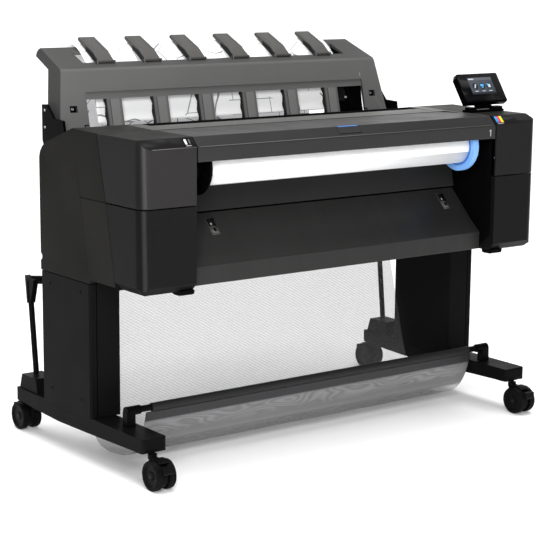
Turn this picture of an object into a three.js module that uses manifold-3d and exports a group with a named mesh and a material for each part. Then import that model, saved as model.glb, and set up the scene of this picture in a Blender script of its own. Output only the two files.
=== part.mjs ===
// A 36 inch large format plotter on a wheeled stand: body with a front roll bay, output stacker, touch
// panel and cloth media basket. Millimetres, +X to the right, +Y to the rear, +Z up. The layout below uses
// a datum 12 mm under the floor; the last lines move the whole assembly so that the origin is on the
// floor, under the middle of its bounding box.
import * as THREE from "three";
import { mergeVertices } from "three/addons/utils/BufferGeometryUtils.js";
import Module from "manifold-3d";

const wasm = await Module();
wasm.setup();

// ---------------------------------------------------------------- driving dimensions
const GAP = 0.5; // clearance between fixed neighbours
const FLOOR_Z = 12; // the floor in the layout
const HALF_WIDTH = 700; // outer face of the end modules
const MODULE_INNER = 530; // inner face of the end modules
const WALL = 6; // thickness of the moulded shells
const FRONT_Y = -241; // front plane of the body
const REAR_Y = 282; // rear plane of the body
const TOP_Z = 925; // top plane of the body
const FLOOR_OF_BODY = 524; // lowest edge of the front covers
const SEAM_Z = 748; // seam between ink door and lower cover

const FOOT = { x: 656, width: 75, front: -231, rear: 457, top: 145 };
const PEDESTAL = { inner: 605, groove: 680, front: 20, rear: REAR_Y, top: 517 };
const BRACE = { half: 604, front: 90, rear: 220, low: 474, high: 512 };
const STEEL = 3; // thickness of the folded steel of the stand
const CASTER = { x: 656, frontY: -217, rearY: 432, trail: 32, radius: 40, halfWidth: 30, top: 105.5 };

const BASKET = {
  halfWidth: 596,
  clothThickness: 3,
  rear: { y: 310, z: 471, radius: 9 },
  front: { y: -93, z: 187, radius: 9 },
  post: { x: 657, footY: 398, topY: 428, footZ: 189.5, topZ: 458, radius: 8.3 },
};

// The output table in side view: an upright lip, a flatter facet, then a 45 degree slope up to the guide.
const TABLE = {
  lipY: -196,
  lipLow: 527,
  lipHigh: 578,
  bendY: -159,
  bendZ: 608.5,
  topY: -71,
  topZ: 697,
  thickness: 7.5,
};

const ROLL = { y: -152, z: 836, radius: 52, core: 26, halfLength: 457 };
const HUB = { radius: 75, neckRadius: 54, thickness: 20 };
const STACKER = {
  lowZ: 870,
  bendZ: 1059,
  rimZ: 1115,
  lowHalf: 605,
  bendHalf: 575,
  rimHalf: 564,
  openingHalf: 480,
  wall: 9,
};
const FINGER = { count: 6, first: -410, pitch: 159.5, halfWidth: 26.5, y: 405, z: 1077.2 };
const WINDOW = { low: 882, high: 975, halfPost: 25, left: -504, right: 513, bandTop: 996 };
const LATCH = { left: -54, right: 26 };
// The touch panel leans back about the point (x, y, z) at the middle of its lower edge.
const DISPLAY = { x: 606, y: -113, z: 949, halfWidth: 86, height: 100, depth: 18, tilt: 34 };

const PLASTIC = { roughness: 0.5, metalness: 0 };
const COLOURS = {
  olive: 0x2c2c29,
  panel: 0x2b292c,
  door: 0x3c3a3c,
  lid: 0x403f3f,
  stand: 0x222123,
  tyre: 0x121212,
  hood: 0x5f5e5b,
  table: 0x3a3836,
  steel: 0x9a9b9d,
  paper: 0xf4f4f4,
  cloth: 0x6b6a6b,
  blue: 0x9cc3ef,
  glass: 0x0b0b0d,
};

// ---------------------------------------------------------------- solids
// A closed geometry as a manifold-3d solid.
function toSolid(geometry) {
  const bare = geometry.clone();
  bare.deleteAttribute("normal");
  bare.deleteAttribute("uv");
  const merged = mergeVertices(bare, 1e-4);
  const vertProperties = new Float32Array(merged.attributes.position.array);
  const triVerts = new Uint32Array(merged.index.array);
  return new wasm.Manifold(new wasm.Mesh({ numProp: 3, vertProperties, triVerts }));
}

function toGeometry(solid) {
  const mesh = solid.getMesh();
  const geometry = new THREE.BufferGeometry();
  geometry.setAttribute("position", new THREE.BufferAttribute(mesh.vertProperties, 3));
  geometry.setIndex(new THREE.BufferAttribute(mesh.triVerts, 1));
  geometry.computeVertexNormals();
  return geometry;
}

function cut(body, ...tools) {
  return toGeometry(tools.reduce((solid, tool) => solid.subtract(toSolid(tool)), toSolid(body)));
}

function join(body, ...others) {
  return toGeometry(others.reduce((solid, other) => solid.add(toSolid(other)), toSolid(body)));
}

function common(body, other) {
  return toGeometry(toSolid(body).intersect(toSolid(other)));
}

// An outline of [a, b] points pushed along one axis, from `low` to `high` on that axis.
function prism(axis, outline, low, high) {
  const shape = new THREE.Shape(outline.map(([a, b]) => new THREE.Vector2(a, b)));
  const options = { depth: high - low, bevelEnabled: false, steps: 1 };
  const geometry = new THREE.ExtrudeGeometry(shape, options);
  geometry.translate(0, 0, low);
  const toWorld = new THREE.Matrix4();
  if (axis === "x") {
    toWorld.set(0, 0, 1, 0, 1, 0, 0, 0, 0, 1, 0, 0, 0, 0, 0, 1);
  }
  if (axis === "y") {
    geometry.translate(0, 0, -low - high);
    toWorld.set(1, 0, 0, 0, 0, 0, -1, 0, 0, 1, 0, 0, 0, 0, 0, 1);
  }
  return geometry.applyMatrix4(toWorld);
}

function box(x0, x1, y0, y1, z0, z1) {
  const geometry = new THREE.BoxGeometry(x1 - x0, y1 - y0, z1 - z0);
  return geometry.translate((x0 + x1) / 2, (y0 + y1) / 2, (z0 + z1) / 2);
}

// A round bar along X, Y or Z between two stations on that axis; `u` and `v` are the other two coordinates.
function bar(axis, radius, low, high, u, v, sides = 24) {
  const geometry = new THREE.CylinderGeometry(radius, radius, high - low, sides);
  const middle = (low + high) / 2;
  if (axis === "x") return geometry.rotateZ(-Math.PI / 2).translate(middle, u, v);
  if (axis === "y") return geometry.translate(u, middle, v);
  return geometry.rotateX(Math.PI / 2).translate(u, v, middle);
}

// A turned part about the X axis: the profile is a closed loop, or starts and ends on the axis.
function turned(profile, sides, y, z) {
  const points = profile.map(([radius, station]) => new THREE.Vector2(radius, station));
  const geometry = new THREE.LatheGeometry(points, sides);
  return geometry.rotateZ(-Math.PI / 2).translate(0, y, z);
}

// A tube of the given radius through a list of [x, y, z] points.
function tube(points, radius, steps, sides = 10) {
  const path = new THREE.CatmullRomCurve3(points.map((p) => new THREE.Vector3(...p)), false, "centripetal");
  const section = new THREE.Shape();
  section.absarc(0, 0, radius, 0, 2 * Math.PI, false);
  const options = { steps, extrudePath: path, curveSegments: sides, bevelEnabled: false };
  return new THREE.ExtrudeGeometry(section, options);
}

// The outline of a strip of constant thickness that follows a smooth curve through [a, b] points.
function strip(points, thickness, samples) {
  const curve = new THREE.SplineCurve(points.map(([a, b]) => new THREE.Vector2(a, b)));
  const near = [];
  const far = [];
  for (let i = 0; i <= samples; i++) {
    const p = curve.getPoint(i / samples);
    const t = curve.getTangent(i / samples);
    near.push([p.x, p.y]);
    far.unshift([p.x + t.y * thickness, p.y - t.x * thickness]);
  }
  return [...near, ...far];
}

// A rectangle in plan with its four corners rounded.
function roundedPlan(x0, x1, y0, y1, radius, steps = 4) {
  const outline = [];
  const corners = [
    [x1 - radius, y1 - radius, 0],
    [x0 + radius, y1 - radius, 1],
    [x0 + radius, y0 + radius, 2],
    [x1 - radius, y0 + radius, 3],
  ];
  for (const [cx, cy, quarter] of corners) {
    for (let i = 0; i <= steps; i++) {
      const angle = ((quarter + i / steps) * Math.PI) / 2;
      outline.push([cx + radius * Math.cos(angle), cy + radius * Math.sin(angle)]);
    }
  }
  return outline;
}

const mirrorOutline = (outline) => outline.map(([a, b]) => [-a, b]).reverse();

// A geometry mirrored left to right, with its faces still pointing out.
function mirrored(geometry) {
  const flat = geometry.index ? geometry.toNonIndexed() : geometry.clone();
  const from = flat.attributes.position.array;
  const to = new Float32Array(from.length);
  for (let i = 0; i < from.length; i += 9) {
    for (const [target, source] of [[0, 0], [3, 6], [6, 3]]) {
      to[i + target] = -from[i + source];
      to[i + target + 1] = from[i + source + 1];
      to[i + target + 2] = from[i + source + 2];
    }
  }
  const geometryOut = new THREE.BufferGeometry();
  geometryOut.setAttribute("position", new THREE.BufferAttribute(to, 3));
  return mergeVertices(geometryOut, 1e-4);
}

const assembly = new THREE.Group();

function add(name, geometry, colour, finish = PLASTIC) {
  const material = new THREE.MeshStandardMaterial({ color: COLOURS[colour], ...finish });
  const mesh = new THREE.Mesh(geometry, material);
  mesh.name = name;
  assembly.add(mesh);
  return mesh;
}

// A piece drawn for the right-hand side, added on both sides.
function addPair(name, geometry, colour, finish) {
  add(`${name}_right`, geometry, colour, finish);
  add(`${name}_left`, mirrored(geometry), colour, finish);
}

// ---------------------------------------------------------------- stand
const POST = BASKET.post;

function foot() {
  const { x, width, front, rear, top } = FOOT;
  const side = [
    [front + 5, 107], [front + 22, 106], [front + 50, 106], [60, 99], [205, 96], [345, 101],
    [400, 106], [rear - 10, 106], [rear, 117], [rear, top - 5], [rear - 5, top],
    [front + 6, top], [front, top - 6], [front, 117],
  ];
  const x0 = x - width / 2;
  const x1 = x + width / 2;
  const beam = common(prism("x", side, x0, x1), prism("z", roundedPlan(x0, x1, front, rear, 12), 90, top));
  const hollow = box(x0 + STEEL, x1 - STEEL, -180, 395, 80, top - STEEL);
  const socketSide = [[336, top - 2], [440, top - 2], [426, 188], [345, 188]];
  return join(cut(beam, hollow), prism("x", socketSide, x - 31, x + 33));
}

function pedestal() {
  const { inner, groove, front, rear, top } = PEDESTAL;
  const plan = [
    [inner, front + 3], [inner + 3, front], [groove - 3, front], [groove - 3, front + 9],
    [groove, front + 9], [groove, front], [HALF_WIDTH - 5, front], [HALF_WIDTH, front + 5],
    [HALF_WIDTH, rear - 5], [HALF_WIDTH - 5, rear], [inner + 3, rear], [inner, rear - 3],
  ];
  const bore = box(inner + STEEL, HALF_WIDTH - STEEL, front + 9 + STEEL, rear - STEEL, FOOT.top, top + 1);
  return cut(prism("z", plan, FOOT.top + GAP, top), bore);
}

function crossBrace() {
  const { half, front, rear, low, high } = BRACE;
  const hollow = box(-half - 1, half + 1, front + STEEL, rear - STEEL, low - 1, high - STEEL);
  return cut(box(-half, half, front, rear, low, high), hollow);
}

addPair("foot", foot(), "stand");
addPair("pedestal", pedestal(), "stand");
add("cross_brace", crossBrace(), "stand");

// ---------------------------------------------------------------- casters
const WHEEL_INNER = 9; // inner face of each wheel of a pair, from the caster's middle
const WEB_HALF = 6.5; // half thickness of the housing between the wheels
const LEVER_HALF = 5; // half width of the brake lever, and of the treadle at its end
const TREADLE_HALF = 17;

// `side` is -1 where the caster trails forward and 1 where it trails to the rear.
function addCaster(name, x, y, side) {
  const { trail, radius, halfWidth, top } = CASTER;
  const axleY = y + side * trail;
  const axleZ = FLOOR_Z + radius;
  const plate = bar("x", radius - 6, x - WEB_HALF, x + WEB_HALF, axleY, axleZ, 28);
  const neck = box(x - WEB_HALF, x + WEB_HALF, Math.min(y, axleY) - 8, Math.max(y, axleY) + 8, axleZ, 95);
  const boss = bar("z", 12.5, 88, 101, x, y);
  const stem = bar("z", 6, 95, top, x, y, 16);
  const bore = bar("x", 5.6, x - 10, x + 10, axleY, axleZ, 16);
  const wheel = [
    [0, -halfWidth], [radius - 5, -halfWidth], [radius, -halfWidth + 5], [radius, -WHEEL_INNER - 2],
    [radius - 2, -WHEEL_INNER], [5, -WHEEL_INNER], [5, WHEEL_INNER], [radius - 2, WHEEL_INNER],
    [radius, WHEEL_INNER + 2], [radius, halfWidth - 5], [radius - 5, halfWidth], [0, halfWidth],
  ];
  const along = (outline) => {
    const points = outline.map(([out, up]) => [axleY + side * out, axleZ + up]);
    return side < 0 ? points.reverse() : points;
  };
  const leverSide = along([[34.6, 8], [45, 10], [46, 26], [39, 26], [31, 16.5]]);
  const treadleSide = along([[42, 10], [47, 11], [46, 30], [37, 32], [37, 27], [41, 25]]);
  const lever = prism("x", leverSide, x - LEVER_HALF, x + LEVER_HALF);
  const treadle = prism("x", treadleSide, x - TREADLE_HALF, x + TREADLE_HALF);
  add(`caster_fork_${name}`, cut(join(plate, neck, boss, stem), bore), "tyre");
  add(`caster_wheels_${name}`, turned(wheel, 28, axleY, axleZ).translate(x, 0, 0), "tyre");
  add(`caster_brake_${name}`, join(lever, treadle), "tyre");
}

for (const [side, x] of [["left", -CASTER.x], ["right", CASTER.x]]) {
  addCaster(`front_${side}`, x, CASTER.frontY, -1);
  addCaster(`rear_${side}`, x, CASTER.rearY, 1);
}

// ---------------------------------------------------------------- media basket
function basketPost() {
  const { x, footY, topY, footZ, topZ, radius } = POST;
  const rod = tube([[x, footY, footZ], [x, topY, topZ]], radius, 1, 14);
  const lean = (topY - footY) / (topZ - footZ);
  const sleeve = tube([[x, topY - 62 * lean, topZ - 62], [x, topY, topZ]], radius + 3, 1, 14);
  const gusset = [
    [topY + 4, topZ - 65], [topY - 17, topZ - 62], [topY - 34, topZ - 7], [topY - 36, topZ + 8],
    [topY + 14, topZ + 15],
  ];
  const head = prism("x", gusset, x - 8, x + 8);
  const socket = tube([[x - 2, topY - 4, topZ + 3], [x - 22, topY - 38, topZ + 6]], radius + 4, 1, 14);
  return join(rod, sleeve, head, socket);
}

function rearBar() {
  const { y, z, radius } = BASKET.rear;
  const half = [[633.5, 386, 465], [612, 350, 467], [588, 322, 469.5], [560, y, z], [400, y, z]];
  const other = half.map(([px, py, pz]) => [-px, py, pz]).reverse();
  return tube([...half, ...other], radius, 44);
}

function frontElbow() {
  const { y, z, radius } = BASKET.front;
  const sleeve = bar("x", radius + 3.5, 616.5, 661, y, z, 20);
  const legSide = [[y - 12, FOOT.top + GAP], [y + 12, FOOT.top + GAP], [y + 11, z], [y - 11, z]];
  const leg = prism("x", legSide, 636, 663);
  return join(sleeve, leg);
}

// The cloth from the side: down from the rear bar, along the floor of the basket and up to the front bar.
const CLOTH_SIDE = [
  [306, 458], [292, 400], [264, 300], [240, 214], [216, 135], [190, 70], [158, 34], [110, 21],
  [60, 23], [12, 31], [-30, 52], [-62, 92], [-82, 140], [-91, 175],
];

addPair("basket_post", basketPost(), "stand");
add("basket_rear_bar", rearBar(), "stand");
addPair("basket_elbow", frontElbow(), "stand");
const frontBar = bar("x", BASKET.front.radius, -616, 616, BASKET.front.y, BASKET.front.z, 20);
add("basket_front_bar", frontBar, "stand");
const clothOutline = strip([...CLOTH_SIDE].reverse(), BASKET.clothThickness, 26);
add("basket_cloth", prism("x", clothOutline, -BASKET.halfWidth, BASKET.halfWidth), "cloth");

// ---------------------------------------------------------------- body: end modules
const CREASE = [[-22, TOP_Z], [-66, SEAM_Z], [-107, 546]]; // front edge of the side cover, from the top down
const REAR_ROUND = [[222, 885], [246, 877], [265, 864], [277, 849], [REAR_Y, 832]];

// The right module's outer top edge is cut off at a slant; the left module keeps a square edge.
const SHOULDER = { across: 27, down: 24 };

function shoulderPlan(inset = 0) {
  const outer = HALF_WIDTH - inset;
  const top = TOP_Z + 6;
  const slope = SHOULDER.down / SHOULDER.across;
  const start = TOP_Z - SHOULDER.down - 0.5 * inset;
  const plan = [[400, 400], [outer, 400], [outer, start], [outer - (top - start) / slope, top], [400, top]];
  return prism("y", plan, -300, 320);
}

// The top and the slant over the door, which belong to the side cover, so that the door swings clear of the panel.
function shoulderStrip(edge) {
  const slope = SHOULDER.down / SHOULDER.across;
  const low = TOP_Z - SHOULDER.down + (HALF_WIDTH - edge) * slope;
  return [
    [MODULE_INNER, TOP_Z - 4.5], [HALF_WIDTH - SHOULDER.across - 2, TOP_Z - 4.5], [edge, low - 6.2], [edge, low],
    [HALF_WIDTH - SHOULDER.across, TOP_Z], [MODULE_INNER, TOP_Z],
  ];
}

function sideCover(shouldered = false) {
  const outer = [
    [-109, 530], [14, 530], [22, 519], [REAR_Y, 519], ...[...REAR_ROUND].reverse(),
    [100, 928], ...CREASE,
  ];
  const inner = [
    [-92, 540], [20, 540], [28, 525], [REAR_Y - WALL, 525], [REAR_Y - WALL, 830], [272, 846],
    [261, 859], [244, 871], [98, 921], [-15, TOP_Z - WALL], [-58, SEAM_Z],
  ];
  const solid = prism("x", outer, MODULE_INNER, HALF_WIDTH);
  const hollow = prism("x", inner, MODULE_INNER - 1, HALF_WIDTH - WALL);
  const shell = shouldered
    ? cut(common(solid, shoulderPlan()), common(hollow, shoulderPlan(WALL)))
    : cut(solid, hollow);
  const slabEdge = HALF_WIDTH - WALL - 1.5;
  const topSlab = shouldered
    ? prism("y", shoulderStrip(slabEdge), -212, -10)
    : box(MODULE_INNER, slabEdge, -212, -10, TOP_Z - 4.5, TOP_Z);
  const rearNotch = bar("x", 10, HALF_WIDTH - 20, HALF_WIDTH + 1, REAR_Y + 2, 556, 20);
  const sideSeam = box(HALF_WIDTH - 2, HALF_WIDTH + 1, -80, 64, SEAM_Z - 1.5, SEAM_Z + 1.5);
  return cut(join(shell, topSlab), rearNotch, sideSeam);
}

// The covers in front of the crease share a rounded corner in plan; `inset` gives their inner face.
function frontCoverPlan(z0, z1, inset = 0) {
  const plan = roundedPlan(MODULE_INNER - 60, HALF_WIDTH - inset, FRONT_Y + inset, 240, 32 - inset, 6);
  return prism("z", plan, z0, z1);
}

function inkDoor(shouldered = false) {
  const low = SEAM_Z + 1.5;
  const outer = [[FRONT_Y, low], [-67.5, low], [-24, TOP_Z], [-217, TOP_Z], [FRONT_Y, 900]];
  const inner = [
    [FRONT_Y + WALL, low - 5], [50, low - 5], [50, TOP_Z + 5], [-213.5, TOP_Z + 5],
    [-213.5, 917], [FRONT_Y + WALL, 896],
  ];
  const block = common(prism("x", outer, MODULE_INNER + 1.5, HALF_WIDTH), frontCoverPlan(700, 960));
  const hollow = common(
    prism("x", inner, MODULE_INNER - 20, HALF_WIDTH - WALL),
    frontCoverPlan(700, 960, WALL),
  );
  if (!shouldered) return cut(block, hollow);
  const behindBevel = box(MODULE_INNER, HALF_WIDTH, -213.5, 60, 700, TOP_Z + 6);
  return cut(common(block, shoulderPlan()), common(hollow, shoulderPlan(WALL)), common(hollow, behindBevel));
}

function lowerCover() {
  const high = SEAM_Z - 1.5;
  const outer = [
    [FRONT_Y + 20, FLOOR_OF_BODY], [-112, FLOOR_OF_BODY], [-108.5, 546], [-68, high],
    [FRONT_Y, high], [FRONT_Y, 545],
  ];
  const front = [
    [MODULE_INNER + 1.5, FLOOR_OF_BODY], [HALF_WIDTH - 20, FLOOR_OF_BODY], [HALF_WIDTH, 545],
    [HALF_WIDTH, high], [MODULE_INNER + 1.5, high],
  ];
  const innerSide = [
    [FRONT_Y + 24, FLOOR_OF_BODY + WALL], [50, FLOOR_OF_BODY + WALL], [50, high - WALL],
    [FRONT_Y + WALL, high - WALL], [FRONT_Y + WALL, 549],
  ];
  const innerFront = [
    [MODULE_INNER + WALL, FLOOR_OF_BODY + WALL], [HALF_WIDTH - 24, FLOOR_OF_BODY + WALL],
    [HALF_WIDTH - WALL, 549], [HALF_WIDTH - WALL, high - WALL], [MODULE_INNER + WALL, high - WALL],
  ];
  const block = common(
    common(prism("x", outer, MODULE_INNER + 1.5, HALF_WIDTH), prism("y", front, -260, 60)),
    frontCoverPlan(500, 760),
  );
  const hollow = common(
    common(prism("x", innerSide, MODULE_INNER, HALF_WIDTH), prism("y", innerFront, -260, 60)),
    frontCoverPlan(500, 760, WALL),
  );
  return cut(block, hollow);
}

// Three cartridges side by side in one tray, behind the ink door.
function inkCartridges() {
  const tray = box(548, 682, -150, -70, 762, 768);
  const cartridges = [0, 1, 2].map((i) => {
    const x = 571 + 44 * i;
    return join(box(x - 20, x + 20, -196, -72, 768, 872), box(x - 12, x + 12, -203, -190, 790, 850));
  });
  const manifold = box(550, 680, -86, -70, 764, 800);
  return join(tray, manifold, ...cartridges);
}

add("side_cover_right", sideCover(true), "olive");
add("side_cover_left", mirrored(sideCover()), "olive");
add("ink_door_right", inkDoor(true), "door");
add("ink_door_left", mirrored(inkDoor()), "door");
addPair("lower_cover", lowerCover(), "panel");
addPair("ink_cartridges", inkCartridges(), "glass");

// ---------------------------------------------------------------- body: middle section
const PLATE_INNER = 527.5; // inner face of the chassis end plates
const MIDDLE_HALF = 518.5; // half width of the pieces that lie between the end plates

function chassis() {
  const plateSide = [
    [-180, 532], [262, 532], [262, 842], [215, 874], [150, 900], [60, 912], [-206, 912],
    [-226, 890], [-226, 572],
  ];
  const rightPlate = prism("x", plateSide, PLATE_INNER, MODULE_INNER - GAP);
  const leftPlate = mirrored(rightPlate);
  const pan = box(-PLATE_INNER - 1, PLATE_INNER + 1, -150, 262, 530, 532);
  const channel = cut(
    box(-PLATE_INNER - 1, PLATE_INNER + 1, 60, 240, 531, 600),
    box(-PLATE_INNER, PLATE_INNER, 62, 238, 520, 598),
  );
  const block = box(505, PLATE_INNER + 1, ROLL.y - 20, ROLL.y + 20, ROLL.z - 40, ROLL.z - 2);
  const cradle = cut(block, bar("x", 10.6, 500, PLATE_INNER, ROLL.y, ROLL.z, 24));
  const underside = box(-500, 500, 80, 220, 520, 560);
  return cut(join(rightPlate, pan, leftPlate, channel, cradle, mirrored(cradle)), underside);
}

function outputTable() {
  const { lipY, lipLow, lipHigh, bendY, bendZ, topY, topZ, thickness } = TABLE;
  const inside = thickness * Math.SQRT1_2;
  const side = [
    [lipY, lipLow], [lipY + thickness, lipLow], [lipY + thickness, lipHigh - inside],
    [bendY + inside, bendZ - inside], [topY + inside, topZ - inside], [topY, topZ], [bendY, bendZ],
    [lipY, lipHigh],
  ];
  return prism("x", side, -MIDDLE_HALF, MIDDLE_HALF);
}

function paperGuide() {
  const face = [[-54, 908], [-56, 800], [-62, 740], [-70, 701]];
  return prism("x", strip(face, 7, 12).reverse(), -MIDDLE_HALF, MIDDLE_HALF);
}

function topCover() {
  const middle = [
    [-34, TOP_Z - WALL], [49, TOP_Z - WALL], [49, 884], [55, 884], [55, TOP_Z + 1], [-34, TOP_Z],
  ];
  const wing = [[-34, TOP_Z - WALL], [100, 922], [150, 906.5], [150, 912.5], [100, 928], [-34, TOP_Z]];
  const rightWing = prism("x", wing, 486, MODULE_INNER - GAP);
  const lidBorder = box(517, MODULE_INNER - GAP, -198, -30, TOP_Z - WALL, TOP_Z);
  return join(prism("x", middle, -487, 487), rightWing, mirrored(rightWing), lidBorder);
}

function rollCover() {
  const side = [
    [FRONT_Y, 860], [-235, 860], [-235, 894.5], [-212.5, 918], [-40.5, 918.5], [-40.5, 924.5],
    [-215, 924.5], [FRONT_Y, 897.5],
  ];
  const lid = prism("x", side, -526.5, 526.5);
  const besideDisplay = box(515.5, 540, -199, 0, 900, 940);
  const corner = prism("z", [[440, 0], [516, -96], [540, -96], [540, 0]], 900, 940);
  const latchPocket = box(LATCH.left - 1.5, LATCH.right + 1.5, -233, -200.5, 900, 940);
  return cut(lid, besideDisplay, corner, latchPocket);
}

function lidLatch() {
  const side = [[-231.5, 906.5], [-227, 906.5], [-212, 917.5], [-201.5, 917.5], [-201.5, 924], [-215, 924]];
  return prism("x", side, LATCH.left, LATCH.right);
}

function rearCover() {
  const low = 522;
  const full = [
    [152.5, 906], [220, 879], [243, 871], [261, 859], [272, 846], [REAR_Y - WALL, 830],
    [REAR_Y - WALL, low], [REAR_Y, low], ...[...REAR_ROUND].reverse(), [152.5, 912],
  ];
  const ramp = [[64, 884], [69, 884], [100, 915], [154, 901], [154, 911.5], [100, 926], [64, 896]];
  return join(prism("x", full, -MODULE_INNER + GAP, MODULE_INNER - GAP), prism("x", ramp, -484.5, 484.5));
}

function powerInlet() {
  const housing = box(400, 462, REAR_Y + GAP, REAR_Y + 8, 556, 604);
  const recess = box(410, 452, REAR_Y + 3, REAR_Y + 9, 566, 594);
  const pins = [-10, 0, 10].map((dx) => box(430 + dx, 432 + dx, REAR_Y + 2, REAR_Y + 7, 577, 585));
  return join(cut(housing, recess), ...pins);
}

add("chassis", chassis(), "stand");
add("output_table", outputTable(), "table");
add("paper_guide", paperGuide(), "panel");
add("top_cover", topCover(), "lid");
add("roll_cover", rollCover(), "lid");
add("roll_cover_latch", lidLatch(), "lid");
add("rear_cover", rearCover(), "panel");
add("power_inlet", powerInlet(), "tyre");

// ---------------------------------------------------------------- roll and spindle
function spindle() {
  const profile = [
    [0, -518], [8, -518], [10, -516], [10, -504], [12.5, -503], [12.5, 503], [10, 504], [10, 516],
    [8, 518], [0, 518],
  ];
  return turned(profile, 24, ROLL.y, ROLL.z);
}

// `neck` is how far the flange stands off the end of the roll.
function hub(neck) {
  const face = ROLL.halfLength + GAP;
  const disc = face + neck;
  const back = face + HUB.thickness;
  const step = neck > 0 ? [[HUB.neckRadius, face], [HUB.neckRadius, disc]] : [];
  const profile = [
    [12.9, face - 22], [ROLL.core - 0.6, face - 22], [ROLL.core - 0.6, face], ...step,
    [HUB.radius - 2, disc], [HUB.radius, disc + 2], [HUB.radius, back - 3], [HUB.radius - 3, back],
    [32, back], [30, back + 19], [12.9, back + 19], [12.9, face - 22],
  ];
  return turned(profile, 40, ROLL.y, ROLL.z);
}

function paperRoll() {
  const { radius, core, halfLength } = ROLL;
  const profile = [
    [core, -halfLength], [radius, -halfLength], [radius, halfLength], [core, halfLength],
    [core, -halfLength],
  ];
  return turned(profile, 48, ROLL.y, ROLL.z);
}

add("spindle", spindle(), "tyre");
add("spindle_hub_right", hub(0), "blue");
add("spindle_hub_left", mirrored(hub(13)), "tyre");
add("paper_roll", paperRoll(), "paper");

// ---------------------------------------------------------------- print mechanism
const RAIL = { y: 25, z: 800, radius: 10 };
const CARRIAGE_X = 430; // parked at the service side

function carriageRail() {
  const rod = bar("x", RAIL.radius, -MIDDLE_HALF, MIDDLE_HALF, RAIL.y, RAIL.z, 24);
  const beam = cut(
    box(-MIDDLE_HALF, MIDDLE_HALF, 62, 92, 770, 850),
    box(-MIDDLE_HALF - 1, MIDDLE_HALF + 1, 65, 93, 773, 847),
  );
  const bracket = box(505, MIDDLE_HALF, 15, 64, 788, 812);
  return join(rod, beam, bracket, mirrored(bracket));
}

function printCarriage() {
  const body = box(CARRIAGE_X - 58, CARRIAGE_X + 58, -38, 52, 742, 868);
  const rear = box(CARRIAGE_X - 50, CARRIAGE_X + 50, 44, 98, 854, 866);
  const bore = bar("x", RAIL.radius + 0.6, CARRIAGE_X - 70, CARRIAGE_X + 70, RAIL.y, RAIL.z, 24);
  return cut(join(body, rear), bore);
}

add("carriage_rail", carriageRail(), "steel", { roughness: 0.35, metalness: 0.9 });
add("print_carriage", printCarriage(), "panel");
add("feed_roller", bar("x", 14, -MIDDLE_HALF, MIDDLE_HALF, -10, 700, 28), "tyre");

// ---------------------------------------------------------------- output stacker
const fingerPositions = Array.from({ length: FINGER.count }, (_, i) => FINGER.first + FINGER.pitch * i);

function stackerHood() {
  const { lowZ, bendZ, rimZ, lowHalf, bendHalf, rimHalf, openingHalf, wall } = STACKER;
  const outerSide = [
    [330, lowZ], [402, lowZ], [446, 1058], [527, 1091], [526, 1102], [518, 1111], [508, rimZ],
    [380, 1062], [374, 1054],
  ];
  const outerFront = [
    [-lowHalf, lowZ], [lowHalf, lowZ], [bendHalf, bendZ], [rimHalf, rimZ + 1], [-rimHalf, rimZ + 1],
    [-bendHalf, bendZ],
  ];
  const innerSide = [
    [338, lowZ - 5], [560, lowZ - 5], [560, 1060], [521, 1094], [507, 1104], [386, 1053],
    [382, 1049],
  ];
  const innerFront = [
    [-lowHalf + wall, lowZ - 6], [lowHalf - wall, lowZ - 6], [bendHalf - wall, bendZ],
    [rimHalf - wall, rimZ + 11], [-rimHalf + wall, rimZ + 11], [-bendHalf + wall, bendZ],
  ];
  const outer = common(prism("x", outerSide, -620, 620), prism("y", outerFront, 300, 560));
  const inner = common(prism("x", innerSide, -620, 620), prism("y", innerFront, 300, 600));
  const paperMouth = box(-openingHalf, openingHalf, 411, 484, 1000, 1130);
  const posts = fingerPositions.flatMap((x) => [x - WINDOW.halfPost, x + WINDOW.halfPost]);
  const edges = [WINDOW.left, ...posts, WINDOW.right];
  const windows = [];
  for (let i = 0; i < edges.length; i += 2) {
    windows.push(box(edges[i], edges[i + 1], 320, 380, WINDOW.low, WINDOW.high));
  }
  const bandSide = [[310, 874], [335.2, 874], [364.4, WINDOW.bandTop], [330, WINDOW.bandTop]];
  const band = prism("x", bandSide, WINDOW.left, WINDOW.right);
  const padSide = [[333.3, 878], [338, 878], [361, 974], [356.3, 974]];
  const pads = fingerPositions.map((x) => prism("x", padSide, x - 15, x + 15));
  const screwHoles = [-549, 549].map((x) => box(x - 12, x + 12, 330, 370, 941, 960));
  const lugs = fingerPositions.flatMap((x) => {
    const side = [[398, 1066], [412, 1071], [412, 1080], [402, 1082], [398, 1078]];
    return [x - FINGER.halfWidth - 5, x + FINGER.halfWidth + 1].map((low) => prism("x", side, low, low + 4));
  });
  return join(cut(outer, inner, band, paperMouth, ...windows, ...screwHoles), ...pads, ...lugs);
}

function finger(x) {
  const { y, z, halfWidth } = FINGER;
  const side = [
    [y - 3.6, z - 1.6], [y - 1, z - 3.8], [y + 2.6, z - 3.4], [y + 6, z], [y + 9, z],
    [y + 10, z - 5], [y + 40, z + 13], [y + 111, z + 57], [y + 112, z + 61], [y + 106, z + 66],
    [y + 30, z + 31], [y - 2, z + 5], [y - 4, z + 2],
  ];
  return prism("x", side, x - halfWidth, x + halfWidth);
}

// The printed sheet from the side: up behind the windows, over the hood's mouth and down into the bin.
const SHEET_SIDE = [
  [360, 905], [373, 952], [393, 1006], [418, 1050], [446, 1082], [474, 1104.5], [502, 1118.5],
  [527, 1121], [545, 1109], [553, 1080], [556, 1000], [557, 800],
];

function stackerBin() {
  const side = [
    [412, 864], [416, 800], [440, 750], [490, 732], [540, 740], [566, 775], [571, 850], [571, 930],
  ];
  const trough = prism("x", strip(side, 5, 24), -466, 466);
  const rail = box(-560, 560, 404, 419, 852, 868);
  const hanger = prism("x", [[404, 852], [419, 852], [446, 1060], [430, 1055]], 535, 560);
  return join(trough, rail, hanger, mirrored(hanger));
}

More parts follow.
